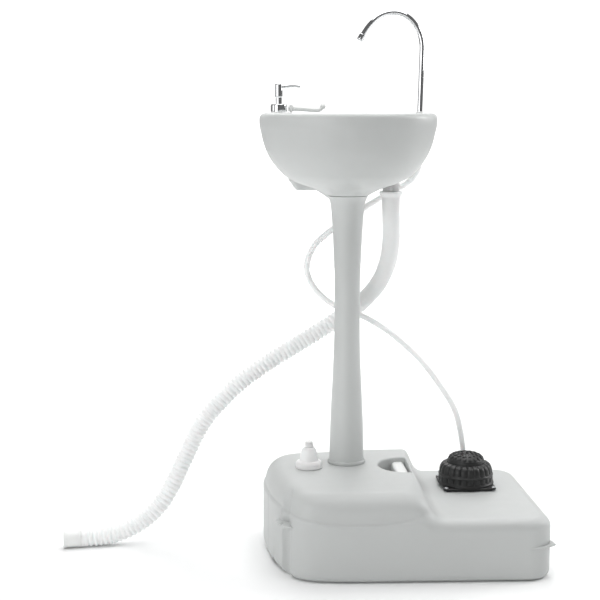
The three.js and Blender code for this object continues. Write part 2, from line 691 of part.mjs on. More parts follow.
function basin() {
  const socket = SPIGOT.radius + GAP;
  const socketTop = COLUMN_SEAM + SPIGOT.length + 1;
  let hollow = solid(basinBody(BASIN.wall)).add(solid(soapBoss(BASIN.wall)));
  const keep = [
    bowlSpace(BASIN.wall),
    sumpSpace(BASIN.wall),
    disc(socket + BASIN.wall, COLUMN_SEAM - 5, socketTop + BASIN.wall),
    disc(DRAIN.bore + BASIN.wall, COLUMN_SEAM - 5, sumpFloor).translate(DRAIN.x, DRAIN.y, 0),
  ];
  keep.forEach((block) => (hollow = hollow.subtract(solid(block))));
  let shell = solid(basinBody(0)).add(solid(soapBoss(0)));
  shell = shell.add(solid(disc(DRAIN.boss, DRAIN_BOSS_END, sumpFloor - 10).translate(DRAIN.x, DRAIN.y,
    0)));
  const spaces = [
    geometryOf(hollow),
    bowlSpace(0),
    sumpSpace(0),
    disc(socket, COLUMN_SEAM - 5, socketTop),
    disc(DRAIN.bore, COLUMN_SEAM - 20, sumpFloor + 5).translate(DRAIN.x, DRAIN.y, 0),
    disc(TAP.radius + RUNNING, RIM - 110, RIM + 5, 16).translate(TAP.x, TAP.y, 0),
    disc(SOAP_NECK.radius + RUNNING, RIM - 9, RIM + 5, 24).translate(SOAP.x, SOAP.y, 0),
    disc(ARM.pin + GAP, RIM - 9, RIM + 5, 12).translate(ARM.x, ARM.y, 0),
  ];
  spaces.forEach((space) => (shell = shell.subtract(solid(space))));
  return geometryOf(shell);
}

// ---------------------------------------------------------------- drain

/** The strainer flange in the bowl with its threaded tail. */
function drainTail() {
  const flangeLow = sumpFloor + 1.5 + 2 * GAP;
  const body = lathe([[DRAIN.pipe, DRAIN_BOSS_END - HOSE_NUT.height + 8],
    [DRAIN_TAIL, DRAIN_BOSS_END - HOSE_NUT.height + 8],
    [DRAIN_TAIL, flangeLow], [DRAIN.flange, flangeLow], [DRAIN.flange - 1, flangeLow + 2],
      [DRAIN.pipe, flangeLow + 1]]);
  const bar = (turn) =>
    new THREE.BoxGeometry(2 * DRAIN.pipe + 2, 2.2, 2).rotateZ(turn).translate(0, 0, flangeLow - 1);
  return join(body, bar(0), bar(Math.PI / 2));
}

/** The flared nut whose sleeve holds the hose. */
function hoseNut() {
  const top = DRAIN_BOSS_END - GAP;
  const { flange, sleeve, height } = HOSE_NUT;
  return lathe([[DRAIN_TAIL + GAP, top - height], [sleeve, top - height], [sleeve, top - 14],
    [flange, top - 3.5],
    [flange, top], [DRAIN_TAIL + GAP, top]]);
}

const drain = () => group(
  [DRAIN.x, DRAIN.y, 0],
  piece("drain_tail", drainTail(), MATERIALS.chrome),
  piece("drain_gasket", pipe(DRAIN_TAIL + GAP, DRAIN.flange - 2, sumpFloor + GAP, sumpFloor + 1.5 + GAP),
    MATERIALS.seal),
  piece("hose_nut", hoseNut(), MATERIALS.white),
);

/** A smooth curve through a list of points. */
const route = (points) => new THREE.CatmullRomCurve3(points.map(point3), false, "centripetal");

/** The sleeve on the hose's free end, just past the last point of the hose. */
function hoseCuff() {
  const curve = route(HOSE_ROUTE);
  const end = curve.getPoint(1);
  const along = curve.getTangent(1);
  along.z = 0;
  along.normalize();
  const sleeve = pipe(11, HOSE_RADIUS + 0.4, GAP, 34);
  sleeve.applyQuaternion(new THREE.Quaternion().setFromUnitVectors(new THREE.Vector3(0, 0, 1), along));
  return sleeve.translate(end.x, end.y, end.z);
}

// ---------------------------------------------------------------- tap

/** Centre line of the gooseneck: a riser, a wide bend and a slanting outlet. */
function tapCurve() {
  const { riser, apex, reach, spoutDrop } = TAP;
  const centreLine = apex - TAP.radius;
  const path = new THREE.CurvePath();
  const riserTop = new THREE.Vector3(3, 0, riser);
  const crown = new THREE.Vector3(-0.45 * reach, 0, centreLine);
  const tip = new THREE.Vector3(-reach + 6, 0, centreLine - spoutDrop + 12);
  path.add(new THREE.LineCurve3(new THREE.Vector3(0, 0, 0), riserTop));
  path.add(new THREE.CubicBezierCurve3(riserTop, new THREE.Vector3(4, 0, riser + 36),
    new THREE.Vector3(-20, 0, centreLine), crown));
  path.add(new THREE.CubicBezierCurve3(crown, new THREE.Vector3(-0.45 * reach - 34, 0, centreLine),
    new THREE.Vector3(-reach + 14, 0, centreLine - 20), tip));
  return path;
}

function tapSpout() {
  const curve = tapCurve();
  const neck = rod(curve, TAP.radius, 26);
  const tail = disc(TAP.radius, -TAP.tail, 1, 8);
  return join(neck, tail);
}

function tapNozzle() {
  const curve = tapCurve();
  const end = curve.getPoint(1);
  const along = curve.getTangent(1);
  const nozzle = lathe([[2.2, GAP], [NOZZLE.radius, GAP], [NOZZLE.radius, NOZZLE.length - 2],
    [NOZZLE.radius - 1.2, NOZZLE.length], [2.2, NOZZLE.length]], 14);
  nozzle.applyQuaternion(new THREE.Quaternion().setFromUnitVectors(new THREE.Vector3(0, 0, 1), along));
  return nozzle.translate(end.x, end.y, end.z);
}

/** The hexagonal nut that holds the spout from below the deck. */
function tapNut() {
  const high = -BASIN.wall - GAP;
  const low = high - TAP_NUT.height;
  return cut(disc(TAP_NUT.radius, low, high, 6), disc(TAP.radius + RUNNING, low - 5, high + 5, 16));
}

const tap = () => group(
  [TAP.x, TAP.y, RIM],
  piece("tap_spout", tapSpout(), MATERIALS.chrome),
  piece("tap_nozzle", tapNozzle(), MATERIALS.chrome),
  piece("tap_grommet", pipe(TAP.radius + RUNNING, GROMMET.radius, GAP, GROMMET.height, 14),
    MATERIALS.white),
  piece("tap_nut", tapNut(), MATERIALS.white),
);

// ---------------------------------------------------------------- soap dispenser

function soapCollar() {
  const { collar, collarHeight, stem } = SOAP;
  const low = SOAP_FLANGE.height + GAP;
  return lathe([[stem + RUNNING, -SOAP_NECK.length + 2],
    [SOAP_BARREL.radius - 2.2, -SOAP_NECK.length + 2],
    [SOAP_BARREL.radius - 2.2, low], [collar, low], [collar, collarHeight - 1.5],
      [collar - 1.5, collarHeight],
    [stem + RUNNING, collarHeight]]);
}

/** The flange on the deck, with a hole for the towel arm's pin. */
function soapFlange() {
  const flange = pipe(SOAP_NECK.radius + RUNNING, SOAP_FLANGE.radius, GAP, SOAP_FLANGE.height, 22);
  return cut(flange, disc(ARM.pin + GAP, -5, SOAP_FLANGE.height + 5, 12).translate(ARM.x - SOAP.x,
    ARM.y - SOAP.y, 0));
}

const soapStemEnd = -SOAP_NECK.length;

function soapHead() {
  const { head, headLow, top, stem } = SOAP;
  const body = lathe([[0, headLow], [stem + 0.4, headLow], [head, headLow + 2], [head, top - 1.5],
    [head - 1.5, top], [0, top]], 16);
  const spoutZ = top - 6;
  const curve = new THREE.QuadraticBezierCurve3(new THREE.Vector3(head - 3, 0, spoutZ - 1),
    new THREE.Vector3(SOAP_SPOUT.reach * 0.6, 0, spoutZ + 3.5),
      new THREE.Vector3(SOAP_SPOUT.reach, 0, spoutZ + 0.5));
  return join(body, rod(curve, SOAP_SPOUT.radius, 8));
}

/** The bottle's neck and its body, which leans under the bowl into the pocket. */
function soapBottle() {
  const neckLow = -BASIN.wall - GAP - SOAP_NECK.length;
  const barrelRoom = -SOAP_BARREL.length - 3;
  const neck = disc(SOAP_NECK.radius + SOAP_NECK.wall, barrelRoom - 3, -BASIN.wall - GAP,
    20).translate(SOAP.x, SOAP.y, RIM);
  const shoulder = new THREE.Shape().absarc(SOAP.x + 1, SOAP.y, SOAP_NECK.radius + 3.5, 0,
    2 * Math.PI).getPoints(4);
  const { x, y, halfX, halfY, low } = SOAP_BOSS;
  const inset = BASIN.wall + 9;
  const foot = roundedRectangle(x, y, halfX - inset, halfY - inset, 5).getPoints(2);
  const bodyPoints = (inner) => [
    ...shoulder.map((p) => new THREE.Vector3(p.x + (SOAP.x - p.x) * inner, p.y + (SOAP.y - p.y) * inner,
      RIM + neckLow - 1)),
    ...foot.map((p) => new THREE.Vector3(p.x + (x - p.x) * inner, p.y + (y - p.y) * inner,
      low + BASIN.wall + 1 + 10 * inner)),
    ...foot.map((p) => new THREE.Vector3(p.x + (x - p.x) * inner - 3, p.y + (y - p.y) * inner - 3,
      low + 24)),
  ];
  const body = new ConvexGeometry(bodyPoints(0));
  const inside = new ConvexGeometry(bodyPoints(0.13));
  const mouth = disc(SOAP_NECK.radius, barrelRoom, 5, 20).translate(SOAP.x, SOAP.y, RIM);
  return cut(join(neck, body), inside, mouth);
}

/** The pump barrel that hangs in the bottle's neck. */
function soapBarrel() {
  const { radius, wall, length } = SOAP_BARREL;
  const top = -BASIN.wall - 2;
  const bore = radius - wall;
  return lathe([[2.2, -length], [radius, -length], [radius, top], [bore, top], [bore, -length + wall],
    [2.2, -length + wall]], 14);
}

function soapDipTube() {
  const { x, y, low } = SOAP_BOSS;
  const start = [SOAP.x, SOAP.y, RIM - SOAP_BARREL.length - GAP];
  const bend = [SOAP.x + 10, SOAP.y + 2, start[2] - 16];
  const end = [x - 4, y, low + 10];
  const curve = new THREE.CatmullRomCurve3([start, bend, end].map(point3));
  return rod(curve, 2, 8).translate(-SOAP.x, -SOAP.y, -RIM);
}

const soapDispenser = () => group(
  [SOAP.x, SOAP.y, RIM],
  piece("soap_flange", soapFlange(), MATERIALS.white),
  piece("soap_collar", soapCollar(), MATERIALS.chrome),
  piece("soap_stem", disc(SOAP.stem, soapStemEnd, SOAP.headLow - GAP, 16), MATERIALS.chrome),
  piece("soap_head", soapHead(), MATERIALS.chrome),
  piece("soap_barrel", soapBarrel(), MATERIALS.clear),
  piece("soap_spring", coilSpring(4.6, 0.6, -SOAP_BARREL.length + SOAP_BARREL.wall + 0.3,
    soapStemEnd - 0.3, 5), MATERIALS.steel),
  piece("soap_dip_tube", soapDipTube(), MATERIALS.clear),
  piece("soap_bottle", soapBottle(), MATERIALS.clear, [-SOAP.x, -SOAP.y, -RIM]),
);

// ---------------------------------------------------------------- towel arm

function towelArm() {
  const eye = pipe(ARM.pin + RUNNING, ARM.eye, ARM.z - 4.5, ARM.z + 5, 14);
  const curve = new THREE.CatmullRomCurve3([[ARM.pin + 1.6, 0, ARM.z], [20, 0, ARM.z - 0.6],
    [ARM.reach - 12, 0, ARM.z - 2.6],
    [ARM.reach - 3, 0, ARM.z - 1], [ARM.reach + 1, 0, ARM.z + 3.5]].map(point3));
  const ball = lathe([[0, -ARM.ball], [ARM.ball * 0.7, -ARM.ball * 0.7], [ARM.ball, 0],
    [ARM.ball * 0.7, ARM.ball * 0.7],
    [0, ARM.ball]], 12).translate(ARM.reach + 2, 0, ARM.z + 5);
  const arm = join(eye, rod(curve, ARM.rod, 9), ball);
  return cut(arm, disc(ARM.pin + RUNNING, ARM.z - 9, ARM.z + 9, 14));
}

const armPin = () => lathe([[0, -14], [ARM.pin, -14], [ARM.pin, ARM.z + 5.6], [ARM.eye - 1, ARM.z + 5.6],
  [ARM.eye - 1.6, ARM.z + 7.6], [0, ARM.z + 7.6]], 12);

const towelHolder = () => group(
  [ARM.x, ARM.y, RIM],
  piece("towel_arm", towelArm(), MATERIALS.white),
  piece("towel_arm_pin", armPin(), MATERIALS.white),
);

// ---------------------------------------------------------------- assembly

const sink = new THREE.Group();
sink.add(
  piece("tank_shell", tankShell(), MATERIALS.body),
  piece("grip_bar", gripBar(), MATERIALS.white, [GRIP.x, GRIP.y, GRIP.z]),
  wheels(),
  filler(),
  footPump(),
  piece("column", columnTube(), MATERIALS.body),
  piece("column_foot_ring", footRing(), MATERIALS.body, [0, 0, TANK.hump]),
  piece("basin", basin(), MATERIALS.body),
  drain(),
  piece("drain_hose", rod(route(HOSE_ROUTE), HOSE_RADIUS, 22, 10), MATERIALS.clear),
  piece("hose_cuff", hoseCuff(), MATERIALS.white),
  tap(),
  piece("supply_tube", rod(route(TUBE_ROUTE), TUBE_RADIUS, 46), MATERIALS.clear),
  soapDispenser(),
  towelHolder(),
);

export default sink;
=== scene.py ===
"""A portable handwash sink: the looks of a moulded tank on two wheels, a waisted column, a round basin,
a foot pump, a gooseneck tap, a soap dispenser, a drain hose and a supply tube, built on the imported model."""

import math

import bpy
import numpy as np
from bpy.props import FloatProperty, FloatVectorProperty, IntProperty, PointerProperty
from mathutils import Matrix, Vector


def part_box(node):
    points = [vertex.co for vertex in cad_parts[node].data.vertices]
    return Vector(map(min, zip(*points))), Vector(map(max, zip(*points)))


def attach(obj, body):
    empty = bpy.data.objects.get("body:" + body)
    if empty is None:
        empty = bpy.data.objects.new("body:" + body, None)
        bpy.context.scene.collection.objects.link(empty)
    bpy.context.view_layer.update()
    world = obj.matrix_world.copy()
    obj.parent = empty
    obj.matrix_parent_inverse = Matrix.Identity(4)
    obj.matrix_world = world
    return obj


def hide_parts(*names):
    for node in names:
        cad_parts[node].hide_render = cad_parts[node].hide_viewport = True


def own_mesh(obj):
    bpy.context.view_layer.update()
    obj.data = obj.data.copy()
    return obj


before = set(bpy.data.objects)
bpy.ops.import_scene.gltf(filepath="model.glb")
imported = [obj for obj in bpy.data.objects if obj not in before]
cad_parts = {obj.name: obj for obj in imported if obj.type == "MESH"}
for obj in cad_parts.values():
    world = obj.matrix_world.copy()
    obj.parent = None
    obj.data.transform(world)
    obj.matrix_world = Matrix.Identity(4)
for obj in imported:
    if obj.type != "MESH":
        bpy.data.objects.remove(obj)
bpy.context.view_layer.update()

bl_info = {
    "name": "Portable handwash sink",
    "version": (1, 0, 0),
    "blender": (4, 5, 0),
    "location": "View3D > Sidebar > Sink",
    "description": "Moulded tank, column, basin, pump, tap, dispenser and hoses of a portable sink",
    "category": "Object",
}

MM = 0.001

# Points that the hose and the tube follow, in millimetres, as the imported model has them.
HOSE_ROUTE = [
    (88, 42, 648.7), (89, 43, 620), (89.5, 46, 585), (83.5, 52.5, 540), (66, 59.5, 499),
    (36.5, 65.5, 464.5), (6, 68, 441), (-24, 68, 422), (-86, 65, 384), (-145, 60, 349),
    (-204, 55, 308), (-252, 50, 262), (-274.6, 45.7, 235.3), (-292.5, 41.3, 205.3),
    (-315.9, 34.7, 157.3), (-339.3, 28.1, 109.3), (-365, 22.4, 71.2), (-400.2, 16.7, 41.7),
    (-442.1, 10.9, 23), (-487.6, 5.2, 16.6), (-513.6, 2, 16.6),
]
TUBE_ROUTE = [
    (240, 52, 135.3), (239, 51, 163), (234, 50, 197), (221, 50, 247), (191, 52, 297),
    (151, 54, 349), (90, 47, 405), (34, 37, 440), (3, 34.5, 452), (-27, 34.5, 466),
    (-56, 39, 491), (-74, 45, 530), (-62, 48, 572), (-29, 44, 605), (5, 47, 627),
    (38, 64, 647), (69, 79, 664), (97, 83, 678), (121, 73.5, 693), (136, 59.5, 711),
    (142.6, 50.6, 731), (143, 50, 741.2),
]

# Where the fittings stand, in millimetres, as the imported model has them.
FILLER = (-76, -38, 160)
PUMP = (232, -13, 113)
GRIP = (103, -29, 139)
DRAIN = (88, 42, 0)
TAP = (143, 50, 830)
SOAP = (-127, 55, 830)
PEG = (-103, 64, 830)
WHEEL_X, WHEEL_ROWS = -116, (-110, 25)


# ---------------------------------------------------------------- sizes and colours


def length(label, about, default):
    """A size in metres that a user may change."""
    return FloatProperty(name=label, description=about, default=default, unit="LENGTH")


def tint(label, about, default):
    """A colour that a user may change."""
    return FloatVectorProperty(
        name=label, description=about, default=default, size=3, subtype="COLOR", min=0, max=1
    )


class SinkSizes(bpy.types.PropertyGroup):
    skin_cell: length("Skin spacing", "Distance between the points of the moulded skins", 0.003)
    hump_edge: length("Hump rounding", "Rounding of the tank's high end", 0.036)
    deck_edge: length("Deck rounding", "Rounding of the tank's low deck", 0.020)
    foot_edge: length("Foot rounding", "Rounding where the tank meets the floor", 0.015)
    hose_pitch: length("Hose pitch", "Distance between two ridges of the drain hose", 0.009)
    hose_ridge: length("Hose ridge", "Height of a ridge of the drain hose", 0.0026)
    pleats: IntProperty(name="Pleats", description="Pleats round the pump's skirt", default=24)


class SinkColours(bpy.types.PropertyGroup):
    body: tint("Body", "Moulded tank, column and basin", (0.535, 0.549, 0.543))
    white: tint("White plastic", "Handle, towel arm, grommet and cuff", (0.84, 0.85, 0.84))
    milky: tint("Milky plastic", "Hose, tube and filler cap", (0.92, 0.93, 0.927))
    rubber: tint("Black rubber", "Pump skirt, crown and tyres", (0.014, 0.0145, 0.0145))
    chrome: tint("Chrome", "Tap and dispenser", (0.78, 0.79, 0.80))


# ---------------------------------------------------------------- meshes


def loop_normals_out(points, faces):
    """True if the closed faces enclose a positive volume, by adding the signed volume under each triangle."""
    total = 0.0
    for a in faces:
        for k in range(1, a.shape[1] - 1):
            p, q, r = points[a[:, 0]], points[a[:, k]], points[a[:, k + 1]]
            total += np.einsum("ij,ij->i", p, np.cross(q, r)).sum()
    return total > 0


def finish_piece(name, shape, kind, body, nodes=(), sharp=None):
    points, faces = shape
    if not loop_normals_out(points, faces):
        faces = [a[:, ::-1] for a in faces]
    mesh = bpy.data.meshes.new(name)
    mesh.vertices.add(len(points))
    mesh.vertices.foreach_set("co", (np.asarray(points) * MM).ravel())
    corners = np.concatenate([a.ravel() for a in faces])
    counts = np.concatenate([np.full(len(a), a.shape[1]) for a in faces])
    mesh.loops.add(len(corners))
    mesh.loops.foreach_set("vertex_index", corners)
    mesh.polygons.add(len(counts))
    mesh.polygons.foreach_set("loop_start", np.concatenate([[0], np.cumsum(counts)[:-1]]))
    mesh.update(calc_edges=True)
    mesh.validate()
    mesh.polygons.foreach_set("use_smooth", np.ones(len(mesh.polygons), bool))
    if sharp:
        mesh.set_sharp_from_angle(angle=math.radians(sharp))
    mesh.materials.append(finish(kind))
    piece = bpy.data.objects.new(name, mesh)
    bpy.context.scene.collection.objects.link(piece)
    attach(piece, body)
    if nodes:
        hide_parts(*nodes)
    return piece


def around(count):
    """Even turns of a circle, in radians, without the last."""
    return np.linspace(0, 2 * np.pi, count, endpoint=False)


def travelled(points):
    """Distance along a polyline at each of its points: the running sum of its steps' lengths."""
    return np.r_[0, np.cumsum(np.linalg.norm(np.diff(points, axis=0), axis=1))]


def stationed(points, stations):
    """The places on a polyline at the given distances along it."""
    along = travelled(points)
    return np.stack([np.interp(stations, along, column) for column in points.T], -1)


def ring_faces(rings, sides, closed):
    """Four-sided faces between neighbouring rings of points, the last ring to the first if closed."""
    i = np.arange(rings if closed else rings - 1)[:, None]
    j = np.arange(sides)[None, :]
    a, b = i * sides + j, i * sides + (j + 1) % sides
    c, d = ((i + 1) % rings) * sides + (j + 1) % sides, ((i + 1) % rings) * sides + j
    return np.stack([a, b, c, d], -1).reshape(-1, 4)


def ringed(grid, closed=False):
    """Points and faces of a grid of rings; unless closed, each end is filled to its middle point."""
    rings, sides, _ = grid.shape
    points, faces = grid.reshape(-1, 3), [ring_faces(rings, sides, closed)]
    if not closed:
        j = np.arange(sides)
        start, end = rings * sides, rings * sides + 1
        points = np.vstack([points, grid[0].mean(0), grid[-1].mean(0)])
        last = (rings - 1) * sides
        faces.append(np.stack([np.full(sides, start), (j + 1) % sides, j], -1))
        faces.append(np.stack([np.full(sides, end), last + j, last + (j + 1) % sides], -1))
    return points, faces


def rounded(profile, steps=6):
    """A polyline of (radius, height, rounding) corners with each corner replaced by a quadratic curve
    that leaves the two sides at the rounding's distance from it."""
    out = []
    at = np.array([p[:2] for p in profile], float)
    for k, corner in enumerate(profile):
        reach = corner[2] if len(corner) > 2 else 0
        if not reach:
            out.append(at[k][None])
            continue
        before, after = at[k - 1], at[(k + 1) % len(at)]
        start = at[k] + (before - at[k]) / np.linalg.norm(before - at[k]) * reach
        end = at[k] + (after - at[k]) / np.linalg.norm(after - at[k]) * reach
        t = np.linspace(0, 1, steps)[:, None]
        out.append((1 - t) ** 2 * start + 2 * t * (1 - t) * at[k] + t * t * end)
    return np.vstack(out)


def frame_of(axis):
    """Two directions square to an axis and to each other."""
    axis = np.asarray(axis, float) / np.linalg.norm(axis)
    side = np.cross((0.0, 0.0, 1.0) if abs(axis[2]) < 0.9 else (1.0, 0.0, 0.0), axis)
    side /= np.linalg.norm(side)
    return side, np.cross(axis, side), axis


def turned(profile, centre, sides=72, axis=(0, 0, 1), closed=False):
    """A profile of radius and height turned about an axis through a centre: each ring is the centre
    plus height along the axis plus radius times the cosine and sine of the turn."""
    profile = np.asarray(profile, float)
    u, v, w = frame_of(axis)
    turn = around(sides)[None, :, None]
    r, h = profile[:, 0][:, None, None], profile[:, 1][:, None, None]
    return ringed(np.asarray(centre, float) + r * (np.cos(turn) * u + np.sin(turn) * v) + h * w, closed)


def smooth_route(points, spacing):
    """A centripetal Catmull-Rom curve through points, with evenly spaced stations: between two points
    it is the cubic whose end slopes come from the neighbours, each weighed by the root of its distance."""
    p = np.asarray(points, float)
    q = np.vstack([2 * p[0] - p[1], p, 2 * p[-1] - p[-2]])
    gap = np.maximum(np.linalg.norm(np.diff(q, axis=0), axis=1) ** 0.5, 1e-4)[:, None]
    slope = (q[1:-1] - q[:-2]) / gap[:-1] - (q[2:] - q[:-2]) / (gap[:-1] + gap[1:])
    slope = slope + (q[2:] - q[1:-1]) / gap[1:]
    step = gap[1:-1]
    a, b, m, n = p[:-1], p[1:], slope[:-1] * step, slope[1:] * step
    t = np.linspace(0, 1, 24, endpoint=False)[None, :, None]
    a, b, m, n = (x[:, None] for x in (a, b, m, n))
    fine = a + m * t + (3 * (b - a) - 2 * m - n) * t**2 + (2 * (a - b) + m + n) * t**3
    fine = np.vstack([fine.reshape(-1, 3), p[-1]])
    whole = travelled(fine)[-1]
    stations = np.linspace(0, whole, max(2, round(whole / spacing) + 1))
    return stationed(fine, stations), stations


def carried(path, radii, sides=20, closed=False):
    """A round section carried along a path: each ring lies square to the path, and the ring's own
    directions are turned as little as possible from one station to the next."""
    tangent = np.gradient(path, axis=0)
    tangent /= np.linalg.norm(tangent, axis=1)[:, None]
    side = np.zeros_like(path)
    side[0] = frame_of(tangent[0])[0]
    for k in range(1, len(path)):
        s = side[k - 1] - tangent[k] * (side[k - 1] @ tangent[k])
        side[k] = s / np.linalg.norm(s)
    up = np.cross(tangent, side)
    turn = around(sides)[None, :, None]
    radii = np.broadcast_to(np.asarray(radii, float), (len(path),))[:, None, None]
    ring = path[:, None] + radii * (np.cos(turn) * side[:, None] + np.sin(turn) * up[:, None])
    return ringed(ring, closed)


def round_ends(path, radius, cap):
    """Radii along a path that fall to nothing at both ends as a quarter ellipse of the given depth."""
    along = travelled(path)
    short = np.minimum(np.minimum(along, along[-1] - along) / cap, 1)
    return radius * np.sqrt(np.maximum(1 - (1 - short) ** 2, 0.0004))


def merged(*shapes):
    """Several closed shapes as one list of points and faces."""
    points, faces, start = [], [], 0
    for p, f in shapes:
        points.append(p)
        faces += [a + start for a in f]
        start += len(p)
    return np.vstack(points), faces


# ---------------------------------------------------------------- moulded skins


def outline_distance(x, y, outline):
    """Distance of points to a closed outline, negative inside: the least distance to any of its sides,
    with the sign by how often a line to the right crosses it."""
    best, inside = np.inf, False
    for (ax, ay), (bx, by) in zip(outline, np.roll(outline, -1, 0)):
        ex, ey = bx - ax, by - ay
        t = np.clip(((x - ax) * ex + (y - ay) * ey) / (ex * ex + ey * ey + 1e-12), 0, 1)
        best = np.minimum(best, (x - ax - t * ex) ** 2 + (y - ay - t * ey) ** 2)
        if ay != by:
            crosses = ((ay > y) != (by > y)) & (x < ex * (y - ay) / ey + ax)
            inside = inside ^ crosses
    return np.sqrt(best) * np.where(inside, -1, 1)


def rounded_slab(flat, z, low, high, low_edge, high_edge):
    """An outline's distance made a slab between two heights, its edges rounded by a quarter circle."""
    upper = z > (low + high) / 2
    edge = np.where(upper, high_edge, low_edge)
    a, b = flat + edge, np.where(upper, z - high, low - z) + edge
    return np.minimum(np.maximum(a, b), 0) + np.hypot(np.maximum(a, 0), np.maximum(b, 0)) - edge


def blended(a, b, reach):
    """The union of two distances, with a fillet of about that reach where they meet."""
    h = np.clip(0.5 + 0.5 * (b - a) / reach, 0, 1)
    return b * (1 - h) + a * h - reach * h * (1 - h)


def carved(a, b, reach):
    """The first distance less the second, with an edge rounded by about that reach."""
    return -blended(-a, b, reach)


def upright(x, y, z, centre, radius, low, high):
    """Distance to an upright cylinder."""
    side = np.hypot(x - centre[0], y - centre[1]) - radius
    cap = np.maximum(low - z, z - high)
    return np.minimum(np.maximum(side, cap), 0) + np.hypot(np.maximum(side, 0), np.maximum(cap, 0))


def eased(value, start, end):
    """0 before start, 1 after end, and a smooth step between."""
    t = np.clip((value - start) / (end - start), 0, 1)
    return t * t * (3 - 2 * t)


def skin(field, low, high, cell):
    """The surface where a distance is zero, as four-sided faces: one point in each grid cell that the
    surface crosses, at the mean of its crossings of the cell's edges and then moved onto the surface
    down the distance's slope, and one face for each grid edge that it crosses."""
    x, y, z = (np.arange(a - 2.37 * cell, b + 3 * cell, cell) for a, b in zip(low, high))
    value = field(x[:, None, None], y[None, :, None], z[None, None, :])
    inside = value < 0
    corner = [(i, j, k) for i in (0, 1) for j in (0, 1) for k in (0, 1)]
    size = np.array(inside.shape) - 1
    part = lambda a, c: a[c[0] : c[0] + size[0], c[1] : c[1] + size[1], c[2] : c[2] + size[2]]
    count = sum(part(inside, c).astype(np.int8) for c in corner)
    at = np.argwhere((count > 0) & (count < 8))
    number = np.full(size, -1)
    number[tuple(at.T)] = np.arange(len(at))
    values = np.stack([value[tuple((at + c).T)] for c in corner], -1)
    total, hits = np.zeros((len(at), 3)), np.zeros(len(at))
    for p, c in enumerate(corner):
        for q, d in enumerate(corner):
            if q > p and sum(abs(m - n) for m, n in zip(c, d)) == 1:
                cut = (values[:, p] < 0) != (values[:, q] < 0)
                gap = np.where(cut, values[:, p] - values[:, q], 1)
                share = (values[:, p] / gap)[:, None]
                total += np.where(cut[:, None], np.array(c) + share * (np.array(d) - np.array(c)), 0)
                hits += cut
    points = (at + total / hits[:, None]) * cell + np.array([x[0], y[0], z[0]])
    reach = 0.25
    for _ in range(3):
        here = field(*points.T)
        steps = np.eye(3) * reach
        slope = np.stack([field(*(points + s).T) - field(*(points - s).T) for s in steps], -1)
        slope /= 2 * reach
        move = here[:, None] * slope / np.maximum((slope**2).sum(1), 0.2)[:, None]
        far = np.linalg.norm(move, axis=1)[:, None]
        points = points - move * np.minimum(1, 0.4 * cell / np.maximum(far, 1e-9))
    faces = []
    for axis in range(3):
        b, c = (axis + 1) % 3, (axis + 2) % 3
        near = [slice(None)] * 3
        far = [slice(None)] * 3
        near[axis], far[axis] = slice(0, -1), slice(1, None)
        crossing = inside[tuple(near)] != inside[tuple(far)]
        edge = np.argwhere(crossing)
        edge = edge[(edge[:, b] > 0) & (edge[:, c] > 0)]
        edge = edge[(edge[:, b] < size[b]) & (edge[:, c] < size[c])]
        ring = []
        for db, dc in ((0, 0), (-1, 0), (-1, -1), (0, -1)):
            cell_at = edge.copy()
            cell_at[:, b] += db
            cell_at[:, c] += dc
            ring.append(number[tuple(cell_at.T)])
        quad = np.stack(ring, -1)
        out = inside[tuple(edge.T)]
        faces.append(np.where(out[:, None], quad, quad[:, ::-1]))
    return points, [np.vstack(faces)]


# ---------------------------------------------------------------- finishes


def nodes_of(name):
    """An empty node material with its principled shader."""
    material = bpy.data.materials.new(name)
    material.use_nodes = True
    tree = material.node_tree
    return material, tree, tree.nodes["Principled BSDF"]


def put(node, **values):
    """Sets constants on a node's sockets, whose names have _ for a space."""
    for name, value in values.items():
        node.inputs[name.replace("_", " ")].default_value = value
    return node


def noise(tree, scale, detail, roughness=0.5):
    """A noise pattern on Object coordinates."""
    node = put(
        tree.nodes.new("ShaderNodeTexNoise"), Scale=scale, Detail=detail, Roughness=roughness
    )
    place = tree.nodes.new("ShaderNodeTexCoord")
    tree.links.new(place.outputs["Object"], node.inputs["Vector"])
    return node.outputs["Fac"]


def ranged(tree, value, low, high, start=0.3, end=0.7):
    """A value between start and end mapped onto a range."""
    node = put(
        tree.nodes.new("ShaderNodeMapRange"), From_Min=start, From_Max=end, To_Min=low, To_Max=high
    )
    tree.links.new(value, node.inputs["Value"])
    return node.outputs["Result"]


def varied(tree, value, colour, spread):
    """A colour between a little darker and a little lighter, by a pattern."""
    node = tree.nodes.new("ShaderNodeMix")
    node.data_type = "RGBA"
    node.inputs[6].default_value = (*[c * (1 - spread) for c in colour], 1)
    node.inputs[7].default_value = (*[min(1, c * (1 + spread)) for c in colour], 1)
    tree.links.new(value, node.inputs[0])
    return node.outputs[2]


def bumped(tree, shader, value, strength, distance):
    """A bump from a pattern, of that depth in metres."""
    node = put(tree.nodes.new("ShaderNodeBump"), Strength=strength, Distance=distance)
    tree.links.new(value, node.inputs["Height"])
    tree.links.new(node.outputs["Normal"], shader.inputs["Normal"])


def moulded(name, colour, roughness, grain=900, depth=0.00006):
    """Moulded plastic: faint flow clouds in the colour, an uneven gloss and a fine grained skin."""
    material, tree, shader = nodes_of(name)
    cloud = noise(tree, 9, 3)
    tree.links.new(varied(tree, cloud, colour, 0.02), shader.inputs["Base Color"])
    gloss = ranged(tree, noise(tree, 38, 4), roughness - 0.05, roughness + 0.05)
    tree.links.new(gloss, shader.inputs["Roughness"])
    bumped(tree, shader, noise(tree, grain, 2), 0.35, depth)
    put(shader, IOR=1.49)
    return material


